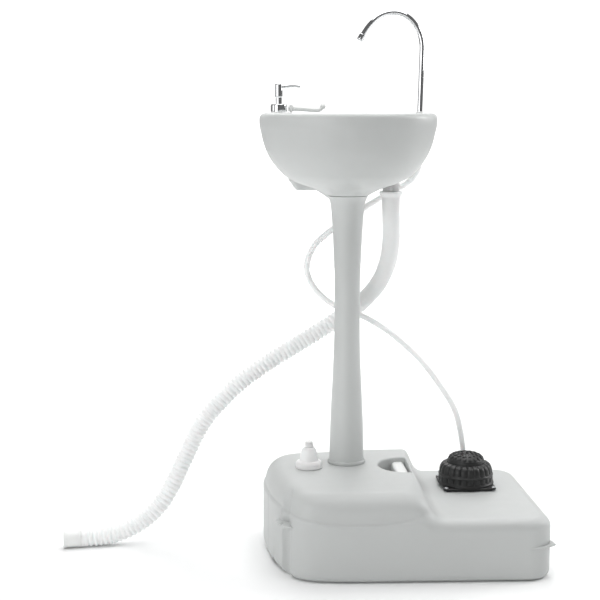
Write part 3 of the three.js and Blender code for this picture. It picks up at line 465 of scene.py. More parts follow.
def milky(name, colour, roughness):
    """Milky polythene: light spreads a little way in, under a soft gloss with faint streaks."""
    material, tree, shader = nodes_of(name)
    tree.links.new(varied(tree, noise(tree, 24, 3), colour, 0.015), shader.inputs["Base Color"])
    gloss = ranged(tree, noise(tree, 90, 3), roughness - 0.05, roughness + 0.05)
    tree.links.new(gloss, shader.inputs["Roughness"])
    bumped(tree, shader, noise(tree, 260, 1), 0.15, 0.00004)
    put(
        shader, IOR=1.5, Subsurface_Weight=0.45, Subsurface_Radius=(0.008, 0.009, 0.009),
        Subsurface_Scale=1.0,
    )
    return material


def rubber(name, colour, roughness):
    """Black rubber: a matt skin with a fine bloom of dust in its colour and a leathery bump."""
    material, tree, shader = nodes_of(name)
    bloom = noise(tree, 55, 5, 0.65)
    tree.links.new(varied(tree, bloom, colour, 0.45), shader.inputs["Base Color"])
    gloss = ranged(tree, noise(tree, 240, 4), roughness - 0.1, roughness + 0.1)
    tree.links.new(gloss, shader.inputs["Roughness"])
    bumped(tree, shader, noise(tree, 1300, 3), 0.4, 0.0001)
    return material


def metal(name, colour, roughness, scratch):
    """Plated or turned metal: a bright reflection, with faint polishing marks in its gloss."""
    material, tree, shader = nodes_of(name)
    put(shader, Base_Color=(*colour, 1), Metallic=1)
    gloss = ranged(tree, noise(tree, 420, 5, 0.7), roughness, roughness + scratch)
    tree.links.new(gloss, shader.inputs["Roughness"])
    bumped(tree, shader, noise(tree, 160, 2), 0.12, 0.00004)
    return material


_made = {}


def finish(kind):
    """The object's finishes by name, each made once."""
    if kind not in _made:
        c = bpy.context.scene.sink_colours
        make = {
            "body": lambda: moulded("body polythene", tuple(c.body), 0.46),
            # Painted light: the column and the basin take lighter copies of the one body colour, 12 and 5 in a
            # hundred lighter, so they look brighter than the tank.
            "column": lambda: moulded("column polythene painted lighter", tuple(v * 1.12 for v in c.body), 0.42),
            "basin": lambda: moulded("basin polythene painted lighter", tuple(v * 1.05 for v in c.body), 0.4),
            "white": lambda: moulded("white moulding", tuple(c.white), 0.38, 1200, 0.00004),
            "milky": lambda: milky("milky hose", tuple(c.milky), 0.4),
            "tube": lambda: milky("milky tube", tuple(min(1, 1.04 * v) for v in c.milky), 0.3),
            "cap": lambda: milky("milky cap", tuple(c.milky), 0.33),
            "rubber": lambda: rubber("black rubber", tuple(c.rubber), 0.44),
            "tyre": lambda: rubber("tyre rubber", tuple(c.rubber), 0.62),
            "hub": lambda: moulded("dark hub", (0.03, 0.032, 0.034), 0.45),
            "seal": lambda: rubber("seal rubber", (0.04, 0.04, 0.04), 0.6),
            "chrome": lambda: metal("chrome plate", tuple(c.chrome), 0.03, 0.05),
            "steel": lambda: metal("turned steel", (0.5, 0.51, 0.52), 0.24, 0.15),
            # Painted shade: a near black finish for the disc in the vent's bore.
            "hole": lambda: moulded("shadowed hole", (0.05, 0.052, 0.052), 0.6),
        }
        _made[kind] = make[kind]()
    return _made[kind]


# ---------------------------------------------------------------- operators


class SINK_OT_camera(bpy.types.Operator):
    """Stand the camera in front of the sink, a little to its left and a little above the basin"""

    bl_idname = "sink.camera"
    bl_label = "Camera"

    def execute(self, context):
        turn, rise = math.radians(-4.0), math.radians(8.207)
        back = Vector(
            (math.sin(turn) * math.cos(rise), -math.cos(turn) * math.cos(rise), math.sin(rise))
        )
        data = bpy.data.cameras.new("front camera")
        data.lens, data.sensor_width = 78.42, 36
        data.clip_start, data.clip_end = 0.05, 60
        camera = bpy.data.objects.new("front camera", data)
        camera.location = (-0.26202, -2.45570, 0.833)
        camera.rotation_mode = "QUATERNION"
        camera.rotation_quaternion = (-back).to_track_quat("-Z", "Y")
        context.scene.collection.objects.link(camera)
        context.scene.camera = camera
        return {"FINISHED"}


class SINK_OT_hoses(bpy.types.Operator):
    """Lay the ridged drain hose with its cuff and the smooth supply tube along their routes"""

    bl_idname = "sink.hoses"
    bl_label = "Hoses"

    def execute(self, context):
        sizes = context.scene.sink_sizes
        path, along = smooth_route(HOSE_ROUTE, 0.62)
        ridge = sizes.hose_ridge / MM * (0.06 + 0.94 * eased(along, 170, 330))
        wave = 0.5 + 0.5 * np.cos(2 * np.pi * along / (sizes.hose_pitch / MM))
        plain = np.minimum(eased(along, 6, 14), eased(along[-1] - along, 4, 10))
        radii = np.minimum(16.9, path[:, 2] - 0.2) - ridge * (1 - wave**0.6) * plain
        hose = finish_piece(
            "ridged_hose", carried(path, radii, 44), "milky", "frame",
            ["drain_hose"],
        )
        end = np.array(HOSE_ROUTE[-1], float)
        run = np.array([path[-1][0] - path[-40][0], path[-1][1] - path[-40][1], 0])
        cuff_profile = rounded(
            [(11, 0.3), (16.4, 0.3, 1), (16.4, 5, 0.6), (15.6, 6, 0.6), (15.6, 28, 0.6),
             (16.4, 29.5, 0.6), (16.4, 34, 1.2), (11, 34)]
        )
        shape = turned(cuff_profile, end, 48, run, closed=True)
        cuff = finish_piece(
            "cuff_sleeve", shape, "white", "frame", ["hose_cuff"], 50
        )
        path, along = smooth_route(TUBE_ROUTE, 2.0)
        shape = carried(path, 5.9, 28)
        tube = finish_piece(
            "clear_tube", shape, "tube", "frame", ["supply_tube"], 60
        )
        return {"FINISHED"}


def tank_outline():
    """The tank's plan: a straight right side between two quarter circles, a straight back, and a smooth
    curve through points along the front and round the left end."""
    right, front, back, corner = 349.0, -250.0, 108.0, 44.0

    def arc(cx, cy, start, end):
        t = np.radians(np.linspace(start, end, 12))
        return np.stack([cx + corner * np.cos(t), cy + corner * np.sin(t)], -1)

    left_end = [
        (-40, 108), (-70, 107.5), (-104, 102), (-133, 87), (-152, 60), (-160, 22), (-160.5, -22),
        (-156.5, -70), (-149.5, -115), (-139.5, -155), (-128, -188), (-115, -210), (-99, -223),
        (-76, -231.5), (-42, -237), (0, -240), (75, -243), (150, -245.5), (240, -248.3),
    ]
    curve, _ = smooth_route([(x, y, 0) for x, y in left_end], 7.0)
    return np.vstack([
        arc(right - corner, front + corner, -90, 0),
        arc(right - corner, back - corner, 0, 90),
        curve[:, :2],
    ])


def tank_field(sizes):
    """Distance to the tank: a low rounded block with a ledge along its left half, a high block whose
    right side slopes, a hand recess, two flutes, the filler neck and the wells of the wheels."""
    outline = tank_outline()
    hump_edge, deck_edge, foot_edge = (
        v / MM for v in (sizes.hump_edge, sizes.deck_edge, sizes.foot_edge)
    )
    arc, reach = np.radians(np.linspace(90, 270, 24)), 54.0
    recess = np.vstack([
        [[117.5, GRIP[1] - reach], [117.5, GRIP[1] + reach]],
        np.stack([112 + reach * np.cos(arc), GRIP[1] + reach * np.sin(arc)], -1),
    ])

    def field(x, y, z):
        flat = outline_distance(x, y, outline)
        dip = np.where(x < 13, 14 * ((x - 13) / 141) ** 2, 11 * ((x - 13) / 89) ** 2)
        right = eased(x, 96, 134)
        top = (106.5 + np.minimum(dip, 15)) * (1 - right) + 113 * right
        edge = 4 * (1 - right) + deck_edge * right
        low = rounded_slab(flat, z, 0, top, foot_edge, edge)
        rear = eased(y, -10, 70) * eased(x, -60, 40)
        round_top = hump_edge * (1 - rear) + 20 * rear
        slab = rounded_slab(flat + 4.2, z, 2, 160, foot_edge, round_top)
        slope = (x - 129 - 0.07 * np.maximum(y + 60, 0)) * 0.915 + (z - 136) * 0.403
        soft = 8 + 30 * eased(-y, 120, 225)
        hump = carved(slab, -slope, soft)
        shape = blended(low, hump, (2 + 14 * eased(x, 90, 130)) * eased(z, 60, 100) + 0.01)
        hand = rounded_slab(outline_distance(x, y, recess), z, 117, 190, 5, 1)
        shape = carved(shape, hand, 1.6)
        rise = np.clip(z - 124, 0, 33)
        inset = 36 - np.sqrt(1296 - rise**2) + 4.2 * eased(z, 108, 116)
        for cx, cy, radius, high in ((-134, -187, 16, 149), (-165, -84, 11, 122)):
            tall = np.hypot(x - cx - 0.2 * inset, y - cy - 1.1 * inset)
            shape = carved(shape, np.hypot(tall, np.maximum(z - high, 0)) - radius, 1.2)
        shape = blended(shape, upright(x, y, z, FILLER, 21.5, 140, 170), 3)
        shape = carved(shape, upright(x, y, z, FILLER, 18.5, 60, 190), 1)
        for cy in WHEEL_ROWS:
            wheel = np.hypot(x - WHEEL_X, np.maximum(z - 28, 0)) - 31
            well = np.maximum(wheel, np.abs(y - cy) - 13)
            shape = carved(shape, well, 1.5)
        slot = np.maximum(np.maximum(np.abs(x - WHEEL_X) - 4.6, z - 32.5), np.abs(y + 42.5) - 104)
        return carved(shape, slot, 1)

    return field


def tab_ring(corners, hole, z):
    """A thin plate with a round hole: rings of points on the outline and on the hole, above and below,
    joined by equal angles about the hole's centre."""
    cx, cy, radius = hole
    outline = np.array(corners, float)
    dense = np.vstack([
        a + (b - a) * np.linspace(0, 1, 10, endpoint=False)[:, None]
        for a, b in zip(outline, np.roll(outline, -1, 0))
    ])
    turn = np.arctan2(dense[:, 1] - cy, dense[:, 0] - cx)
    inner = np.stack([cx + radius * np.cos(turn), cy + radius * np.sin(turn)], -1)
    level = lambda flat, h: np.column_stack([flat, np.full(len(flat), h)])
    rim = dense + (np.array([cx, cy]) - dense) * 0.06
    rings = ((dense, 0), (rim, 1.6), (inner, 1.2), (inner, -1.2), (rim, -1.6))
    return ringed(np.stack([level(flat, z + h) for flat, h in rings]), closed=True)


def grip_shape():
    """The handle: a superellipse section, whose sides are the cosine and sine of the turn raised to the
    power 0.45, carried from front to back and drawn in by steps at its two ends."""
    turn, half = around(48), 59.7
    bulge = lambda c: 12 * np.sign(c) * np.abs(c) ** 0.45
    along = np.array([-half, -half, 1 - half, half - 1, half, half])
    size = np.array([0.85, 0.92, 1, 1, 0.92, 0.85])
    x, y, z = np.broadcast_arrays(
        GRIP[0] + size[:, None] * bulge(np.cos(turn)),
        GRIP[1] + along[:, None],
        GRIP[2] + size[:, None] * bulge(np.sin(turn)),
    )
    return ringed(np.stack([x, y, z], -1))


class SINK_OT_tank(bpy.types.Operator):
    """Build the moulded tank with its handle and the two tabs on its parting line"""

    bl_idname = "sink.tank"
    bl_label = "Tank"

    def execute(self, context):
        sizes = context.scene.sink_sizes
        low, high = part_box("tank_shell")
        low, high = np.array(low) / MM, np.array(high) / MM
        shape = skin(tank_field(sizes), low, high, sizes.skin_cell / MM)
        finish_piece("tank_skin", shape, "body", "frame", ["tank_shell"])
        right_tab = tab_ring(
            [(294, -242), (306, -251.5), (332, -250), (354, -233), (352, -213), (341, -207), (317, -228)],
            (340, -229, 3.4), 63)
        left_tab = tab_ring(
            [(-112, -196), (-119, -208), (-132, -204), (-145, -180), (-147, -158), (-134, -150),
             (-118, -172)], (-136, -184, 3.2), 96)
        shape = merged(right_tab, left_tab)
        finish_piece("parting_tabs", shape, "body", "frame", [], 40)
        finish_piece("handle_grip", grip_shape(), "white", "frame", ["grip_bar"], 40)
        return {"FINISHED"}


class SINK_OT_wheels(bpy.types.Operator):
    """Turn the two wheels' tyres and hubs"""

    bl_idname = "sink.wheels"
    bl_label = "Wheels"

    def execute(self, context):
        for side in ("front", "back"):
            low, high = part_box(f"wheel_tyre_{side}")
            centre = (low + high) / 2 / MM
            tread = [(22, -9), (22, 9, 1), (25, 11, 1), (27, 9, 2)]
            ribs = [(27 - 0.9 * (k % 2), 7.5 - 1.25 * k, 0.3) for k in range(13)]
            tyre = rounded(tread + ribs + [(27, -9, 2), (25, -11, 1)], 4)
            shape = turned(tyre, centre, 72, (0, 1, 0), closed=True)
            finish_piece(
                f"tyre_{side}", shape, "tyre", f"wheel_{side}",
                [f"wheel_tyre_{side}"], 35,
            )
            hub = rounded(
                [(4.1, -11), (8.1, -11, 1), (9.1, -2.5, 1.5), (18.7, -2.5, 1.5), (19.7, -8, 0.8), (21.7, -8),
                 (21.7, 8), (19.7, 8, 0.8), (18.7, 2.5, 1.5), (9.1, 2.5, 1.5), (8.1, 11, 1), (4.1, 11)], 4)
            shape = turned(hub, centre, 60, (0, 1, 0), closed=True)
            finish_piece(
                f"hub_{side}", shape, "hub", f"wheel_{side}",
                [f"wheel_hub_{side}"], 35,
            )
        return {"FINISHED"}


class SINK_OT_filler_cap(bpy.types.Operator):
    """Turn the milky filler cap and the little vent spout on its top"""

    bl_idname = "sink.filler_cap"
    bl_label = "Filler cap"

    def execute(self, context):
        profile = rounded([
            (22, 0.6), (25, 0.6, 1), (25.5, 3.5, 1), (25.2, 10, 2), (22.5, 14.2, 2.5), (18, 14.6, 1.4),
            (16.6, 18, 2), (15.9, 27, 3), (14.2, 35, 4), (11, 39.8, 2.5), (5.5, 40.6), (5.5, 47),
            (2.5, 47), (2.5, 12), (22, 12)], 7)
        shape = turned(profile, FILLER, 96, closed=True)
        finish_piece(
            "filler_dome", shape, "cap", "filler_cap", ["filler_cap"], 50
        )
        knob = rounded([
            (6, 41), (8.0, 41, 0.8), (8.6, 43.5, 1.2), (7.9, 46.5, 1.5), (7.0, 48, 0.8), (7.5, 50, 1),
            (5.6, 52.7, 1.4), (2.3, 53, 0.4), (1.7, 50.5), (1.7, 48.5), (6, 48.5)], 6)
        shape = turned(knob, FILLER, 64, closed=True)
        finish_piece(
            "vent_knob", shape, "cap", "vent_spout", ["vent_spout"], 50
        )
        # Painted shade: a near black disc set in the vent's bore stands in for the shadow inside the hole.
        pip = rounded([(0, 49), (1.6, 49), (1.6, 51.6, 0.3), (0, 52)], 3)
        shape = turned(pip, FILLER, 24)
        finish_piece("vent_hole_painted_shade", shape, "hole", "vent_spout", [])
        return {"FINISHED"}


def skirt_shape(pleats):
    """The pump's skirt: a turned outside pressed in along its own slope, where the depth is a band in
    height times 1 less the root of the half-turn cosine, once a pleat, and a plain turned lining."""
    outside = rounded([
        (54.2, 6.6), (54.2, 9, 1), (52.6, 11, 1.5), (52.2, 22, 0.5), (52.9, 23, 0.5), (52.9, 25, 0.5),
        (51.6, 26, 0.8), (50.8, 36, 4), (46.5, 44, 4), (38.5, 46.4, 1.5), (36.6, 46.4)], 8)
    outside = stationed(outside, np.linspace(0, travelled(outside)[-1], 120))
    turn = around(528)
    wave = np.abs(np.cos(turn * pleats / 2)) ** 0.5
    width, height = outside[:, :1], outside[:, 1:]
    band = eased(height, 11, 14) * (1 - eased(height, 20, 22)) + eased(height, 26.5, 29)
    band = band * (1 - 0.9 * eased(height, 45.9, 46.4))
    depth = 2.4 * band * (1 - wave)
    slope = np.gradient(outside, axis=0)
    normal = np.stack([slope[:, 1], -slope[:, 0]], -1)
    normal = np.maximum(normal / np.linalg.norm(normal, axis=1)[:, None], 0)
    r, h = width - depth * normal[:, :1], height - depth * normal[:, 1:]
    shell = np.stack([r * np.cos(turn), r * np.sin(turn), h], -1)
    under = np.array([(36.6, 43.4), (38, 43.4), (45.4, 39), (47.5, 24), (49.5, 9.2), (49.5, 6.6)])
    r, h = under[:, :1], under[:, 1:] + 0 * turn
    lining = np.stack([r * np.cos(turn), r * np.sin(turn), h], -1)
    return ringed(np.concatenate([shell, lining]) + PUMP, closed=True)


def crown_shape():
    """The pump's crown: a turned dome with rows of short bars, each row 8.4 mm of the radius. A bar
    stands where a cosine of the turn, counted for each row, times a lane across the row is high."""
    top = rounded([
        (0, 65.3), (18, 64.4, 8), (30, 60.2, 7), (35.2, 54, 4), (36, 46, 4), (36, 30.5), (32.8, 30.5),
        (32.8, 48), (26, 57), (0, 61.5)], 10)
    along = travelled(top)
    edge = along[np.argmin(np.abs(top[:, 1] - 44) + (top[:, 0] < 35) * 99)]
    stations = np.r_[np.linspace(0, edge, 110), np.linspace(edge, along[-1], 30)[1:]]
    top = stationed(top, stations)
    turn, width = around(360), top[:, :1]
    ring = np.clip((width - 1) / 8.4, 0, None)
    row = np.floor(ring)
    count = np.maximum(np.round((row * 8.4 + 5.2) * 0.58), 1)
    bar = 0.5 + 0.5 * np.cos(count * turn + row * 2.4 + 1.6 * (ring - row))
    lane = np.clip(1.5 - np.abs((ring - row) * 2 - 1) * 1.45, 0, 1)
    upper = (stations < edge * 0.86)[:, None] * (width > 2)
    lift = 2.5 * eased(bar * lane, 0.22, 0.5) * upper
    h = np.minimum(top[:, 1:] + lift - 2.2 * upper, 65.4)
    return ringed(np.stack([width * np.cos(turn), width * np.sin(turn), h], -1) + PUMP)


def plate_shape():
    """The pump's plate: a square whose sides are three times the cosine and sine of the turn, held
    within 1, plus a circle for its round corners, at six heights."""
    turn = around(96)
    round_part = np.column_stack([np.cos(turn), np.sin(turn)])
    square = 43 * np.clip(round_part * 3, -1, 1)
    rings = ((0.9, 0, 2.3), (1, 7.2, 2.3), (1, 8, 2.9), (1, 8, 5.6), (1, 7.2, 6.3), (0.9, 0, 6.3))
    grid = np.stack([
        np.column_stack([square * s + round_part * r, np.full(96, h)]) for s, r, h in rings
    ])
    return ringed(grid[:, ::-1] + PUMP)


class SINK_OT_foot_pump(bpy.types.Operator):
    """Build the pump's pleated skirt, its ridged crown and the plate's screws"""

    bl_idname = "sink.foot_pump"
    bl_label = "Foot pump"

    def execute(self, context):
        pleats = context.scene.sink_sizes.pleats
        rubbers = (
            ("pleated_skirt", skirt_shape(pleats), "frame", "pump_skirt", 60),
            ("ridged_crown", crown_shape(), "pump_crown", "pump_crown", 50),
            ("pump_plate", plate_shape(), "frame", "pump_base_plate", 40),
        )
        for name, shape, body, node, sharp in rubbers:
            finish_piece(name, shape, "rubber", body, [node], sharp)
        for row in ("front", "back"):
            for side in ("left", "right"):
                node = f"pump_screw_{row}_{side}"
                low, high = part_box(node)
                (x, y, _), top = (low + high) / 2 / MM, high[2] / MM
                head = rounded([
                    (0, -11), (2.2, -11), (2.2, -2.1), (4.2, -2.1, 0.2), (4.2, -1.2, 0.5),
                    (2.8, 0, 0.8), (1.7, -0.1), (1.5, -1.0), (0, -1.1)], 4)
                shape = turned(head, (x, y, top), 32)
                finish_piece(f"screw_{row}_{side}", shape, "steel", "frame", [node], 35)
        return {"FINISHED"}


class SINK_OT_springs(bpy.types.Operator):
    """Wind the springs of the pump and the dispenser"""

    bl_idname = "sink.springs"
    bl_label = "Springs"

    def execute(self, context):
        for name, node, joint, press, wire, turns in (
            ("pump_coil", "pump_spring", "pump_press", 22, 1.2, 7),
            ("dispenser_coil", "soap_spring", "soap_press", 11, 0.6, 5),
        ):
            low, high = (np.array(corner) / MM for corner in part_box(node))
            foot, height = np.array([*(low + high)[:2] / 2, low[2]]), high[2] - low[2]
            # A helix: the cosine and sine of an even turn, with a height that rises evenly with it.
            t = np.linspace(0, 1, turns * 28)
            turn, radius = 2 * np.pi * turns * t, (high - low)[0] / 2 - wire
            rise = wire + (height - 2 * wire) * t
            path = foot + np.stack([radius * np.cos(turn), radius * np.sin(turn), rise], -1)
            coil = finish_piece(name, carried(path, wire, 12), "steel", "frame", [node], 50)
            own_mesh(coil)
        return {"FINISHED"}


def column_profile():
    """The column's radius at each height: a smooth curve through half of its widths, with the heights
    set closer together towards its flared top, between a plain spigot at the foot and one at the top."""
    low, high, spigot = 160.3, 675.7, 30
    widths = np.array([
        (low, 67), (193, 65.6), (223, 64), (252, 61.8), (282, 59.2), (311, 56.4), (341, 53.6),
        (370, 51.4), (400, 49.7), (430, 48.8), (458, 48.5), (487, 48.6), (515, 49.2), (544, 50.5),
        (573, 52.6), (601, 55.3), (630, 58.7), (649, 61.9), (658, 64.2), (664, 66.8), (669, 70),
        (673, 73.6), (high, 76.6)])
    heights = low + (high - low) * (1 - (1 - np.linspace(0, 1, 140)) ** 1.6)
    fine, _ = smooth_route(np.column_stack([widths[:, 1] / 2, widths[:, 0], 0 * widths[:, 0]]), 2.0)
    side = np.column_stack([np.interp(heights, fine[:, 1], fine[:, 0]), heights])
    foot, top = [(0, 123), (spigot, 123), (spigot, low)], [(spigot, high), (spigot, 713), (0, 713)]
    return np.vstack([foot, side, top])


class SINK_OT_column(bpy.types.Operator):
    """Turn the waisted column and the ring round its foot"""

    bl_idname = "sink.column"
    bl_label = "Column"

    def execute(self, context):
        shape = turned(column_profile(), (0, 0, 0), 128)
        finish_piece("waisted_column", shape, "column", "frame", ["column"], 50)
        ring = rounded(
            [(33.8, 160.3), (36.2, 160.3, 0.8), (36.4, 164, 2), (34.6, 167.2, 1), (33.8, 167.2)], 6)
        shape = turned(ring, (0, 0, 0), 96, closed=True)
        finish_piece("foot_collar", shape, "body", "frame", ["column_foot_ring"], 50)
        return {"FINISHED"}


def basin_field():
    """Distance to the basin: a turned outside, a bowl whose plan is an ellipse and whose section is a
    superellipse of power 3, the sump round the drain, the drain's boss and the soap bottle's pocket."""
    side, _ = smooth_route([
        (38.3, 676.4, 0), (48.5, 682, 0), (65, 690.2, 0), (87, 697.6, 0), (104, 704.5, 0),
        (118, 713, 0), (126.4, 721, 0), (139.2, 736, 0), (148.6, 751, 0), (155, 765, 0),
        (159.6, 780, 0), (162.9, 795, 0), (165.3, 805, 0), (166, 812, 0)], 4.0)
    lip = rounded([(166, 812), (166, 830, 12), (150, 830)], 10)
    outside = np.vstack([[(0, 676.4)], side[:, :2], lip[1:], [(0, 830)]])
    pocket = np.array([(-107, 702), (-93, 683.5), (-56, 683.5), (-44, 676.5), (-34, 669), (-18, 669),
                       (-18, 740), (-111, 740)], float)

    def field(x, y, z):
        shape = outline_distance(np.hypot(x, y), z, outside)
        boss = rounded_slab(outline_distance(x, z, pocket) + 1.5, y, 38, 88, 5, 5) - 1.5
        shape = blended(shape, boss, 9)
        shape = blended(shape, upright(x, y, z, DRAIN, 15.75, 681, 745), 5)
        ex, ey, ez = x / 140, (y + 32) / 112, (z - 830) / 103
        flat = np.hypot(ex, ey) + 1e-9
        k = (flat**3 + np.abs(ez) ** 3) ** (1 / 3) + 1e-9
        slope = np.sqrt(
            ((flat / k) ** 2 / flat) ** 2 * ((ex / 140) ** 2 + (ey / 112) ** 2)
            + ((np.abs(ez) / k) ** 2 / 103) ** 2
        )
        bowl = np.clip((k - 1) / np.maximum(slope, 0.004), -60, 60)
        shape = carved(shape, bowl, 7)
        return carved(shape, upright(x, y, z, DRAIN, 27, 727, 770), 6)

    return field


class SINK_OT_basin(bpy.types.Operator):
    """Build the round basin with its bowl and the mouldings under it"""

    bl_idname = "sink.basin"
    bl_label = "Basin"

    def execute(self, context):
        low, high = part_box("basin")
        cell = context.scene.sink_sizes.skin_cell / MM * 0.8
        low = np.minimum(np.array(low) / MM, [0, 0, 668])
        shape = skin(basin_field(), low, np.array(high) / MM, cell)
        finish_piece("basin_skin", shape, "basin", "frame", ["basin"])
        return {"FINISHED"}


class SINK_OT_drain(bpy.types.Operator):
    """Turn the flared nut that holds the hose and the sleeve above it"""

    bl_idname = "sink.drain"
    bl_label = "Drain"

    def execute(self, context):
        nut = rounded([
            (13.1, 647), (17.0, 647, 0.8), (17.4, 662, 3), (18.0, 670, 3), (22.3, 676.8, 1.2),
            (22.5, 680.9, 0.8), (13.1, 680.9)], 6)
        shape = turned(nut, DRAIN, 72, closed=True)
        finish_piece("flared_nut", shape, "milky", "frame", ["hose_nut"], 50)
        tail = rounded([(15.8, 681.2), (16.2, 681.2, 0.3), (16.2, 709), (15.8, 709)], 4)
        shape = turned(tail, DRAIN, 72, closed=True)
        finish_piece("tail_sleeve", shape, "milky", "frame", [], 50)
        return {"FINISHED"}


def gooseneck_path():
    """The tap's path: a leaning straight riser, then two cubic Bezier curves that share the level
    direction at the top of the bend."""
    t = np.linspace(0, 1, 60)[:, None]
    v = lambda x, z: np.array([x, 0.0, z])
    cubic = lambda a, b, c, d: (
        (1 - t) ** 3 * a + 3 * t * (1 - t) ** 2 * b + 3 * t * t * (1 - t) * c + t**3 * d
    )
    top_of_riser, top_of_bend = v(3, 119), v(-51.5, 188.5)
    riser = top_of_riser * np.linspace(0, 1, 40)[:, None]
    bend = cubic(top_of_riser, v(4, 157), v(-20, 188.5), top_of_bend)
    fall = cubic(top_of_bend, v(-80, 188.5), v(-97.5, 168.5), v(-110, 147.5))
    return np.vstack([v(0, -88), v(0, -40), riser, bend[1:], fall[1:]]) + TAP


class SINK_OT_tap(bpy.types.Operator):
    """Bend the chrome gooseneck and turn its nozzle and grommet"""

    bl_idname = "sink.tap"
    bl_label = "Tap"

    def execute(self, context):
        path = gooseneck_path()
        shape = carried(path, 5.0, 36)
        finish_piece("gooseneck", shape, "chrome", "tap", ["tap_spout"], 60)
        run = path[-1] - path[-3]
        nozzle = rounded([
            (0, 0.3), (6.0, 0.3, 0.4), (6.4, 1.5, 0.4), (6.4, 11, 0.6), (5.4, 13, 0.4), (4.2, 13),
            (4.0, 10), (0, 10)], 5)
        shape = turned(nozzle, path[-1], 48, run)
        finish_piece("nozzle", shape, "chrome", "tap", ["tap_nozzle"], 40)
        grommet = rounded([(5.5, 0.3), (7.2, 0.3, 0.5), (7.0, 2.2, 0.8), (6.2, 3), (5.5, 3)], 5)
        shape = turned(grommet, TAP, 48, closed=True)
        finish_piece("grommet", shape, "white", "frame", ["tap_grommet"], 50)
        return {"FINISHED"}


class SINK_OT_soap_dispenser(bpy.types.Operator):
    """Turn the dispenser's flange, collar and stem and shape its head and spout"""

    bl_idname = "sink.soap_dispenser"
    bl_label = "Soap dispenser"

    def execute(self, context):
        flange = rounded([(13, 0.3), (26, 0.3, 0.2), (26, 1.2, 0.4), (24.6, 1.8, 0.4), (13, 1.8)], 5)
        shape = turned(flange, SOAP, 72, closed=True)
        finish_piece("dispenser_flange", shape, "white", "frame", ["soap_flange"], 50)
        collar = rounded([
            (6.5, -18), (6.8, -18), (6.8, 1.9), (15.2, 1.9, 0.3), (15.75, 2.8, 0.4), (15.75, 14.5, 0.8),
            (14.6, 17.0, 0.8), (8, 17.0, 0.8), (6.5, 16.4)], 6)
        shape = turned(collar, SOAP, 72, closed=True)
        finish_piece("dispenser_collar", shape, "chrome", "frame", ["soap_collar"], 50)
        stem = rounded([(0, -20), (6, -20), (6, 29.1), (0, 29.1)], 4)
        shape = turned(stem, SOAP, 40)
        finish_piece("dispenser_stem", shape, "chrome", "soap_stem", ["soap_stem"], 50)
        head = rounded([
            (0, 29.4), (6.4, 29.4, 0.5), (7.5, 31.5, 0.8), (7.5, 53.5, 1.2), (6.2, 55.6, 1), (0, 55.6)], 6)
        body = turned(head, SOAP, 48)
        t = np.linspace(0, 1, 40)[:, None]
        a, b, c = (np.array(p, float) for p in ((4.5, 0, 48.6), (24.6, 0, 53.1), (41, 0, 50.1)))
        path = (1 - t) ** 2 * a + 2 * t * (1 - t) * b + t * t * c + SOAP
        spout = carried(path, 3.4 - 0.5 * t[:, 0], 28)
        shape = merged(body, spout)
        finish_piece("dispenser_head", shape, "chrome", "soap_head", ["soap_head"], 45)
        return {"FINISHED"}


class SINK_OT_towel_arm(bpy.types.Operator):
    """Shape the white arm with its eye and its ball end, and turn its pin"""

    bl_idname = "sink.towel_arm"
    bl_label = "Towel arm"

    def execute(self, context):
        eye = rounded([(3, 3.5), (5.5, 3.5, 0.8), (5.5, 13, 0.8), (3, 13)], 5)
        eye = turned(eye, PEG, 40, closed=True)
        path, along = smooth_route(
            [(4.2, 0, 8.4), (20, 0, 7.8), (45, 0, 6.0), (55, 0, 7), (60, 0, 11.5)], 0.8)
        rod = carried(path + PEG, round_ends(path, 4.3, 3.0), 24)
        a = np.linspace(0.001, math.pi - 0.001, 24)
        ball = turned(5.6 * np.stack([np.sin(a), -np.cos(a)], -1), np.array(PEG) + (61, 0, 13), 36)
        shape = merged(eye, rod, ball)
        finish_piece("towel_peg", shape, "white", "towel_arm", ["towel_arm"], 60)
        pin = rounded([(0, -14), (2.5, -14), (2.5, 13.6), (4.5, 13.6, 0.4), (3.9, 15.6, 0.8), (0, 15.6)], 5)
        shape = turned(pin, PEG, 32)
        finish_piece("towel_pin", shape, "white", "frame", ["towel_arm_pin"], 50)
        return {"FINISHED"}


class SINK_OT_hidden_parts(bpy.types.Operator):
    """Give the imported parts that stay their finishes"""

    bl_idname = "sink.hidden_parts"
    bl_label = "Plain parts"

    def execute(self, context):
        finishes = {
            "seal": ["pump_gasket", "cap_gasket", "drain_gasket", "inlet_valve", "outlet_valve"],
            "steel": ["axle", "axle_clip_front", "axle_clip_back"],
            "hub": ["pump_cup"],
            "chrome": ["drain_tail"],
            "white": ["dip_strainer", "outlet_fitting", "tap_nut"],
            "cap": ["pressure_tube", "dip_tube", "soap_barrel", "soap_dip_tube", "soap_bottle"],
        }
        for kind, nodes in finishes.items():
            for node in nodes:
                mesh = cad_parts[node].data
                mesh.materials.clear()
                mesh.materials.append(finish(kind))
        return {"FINISHED"}


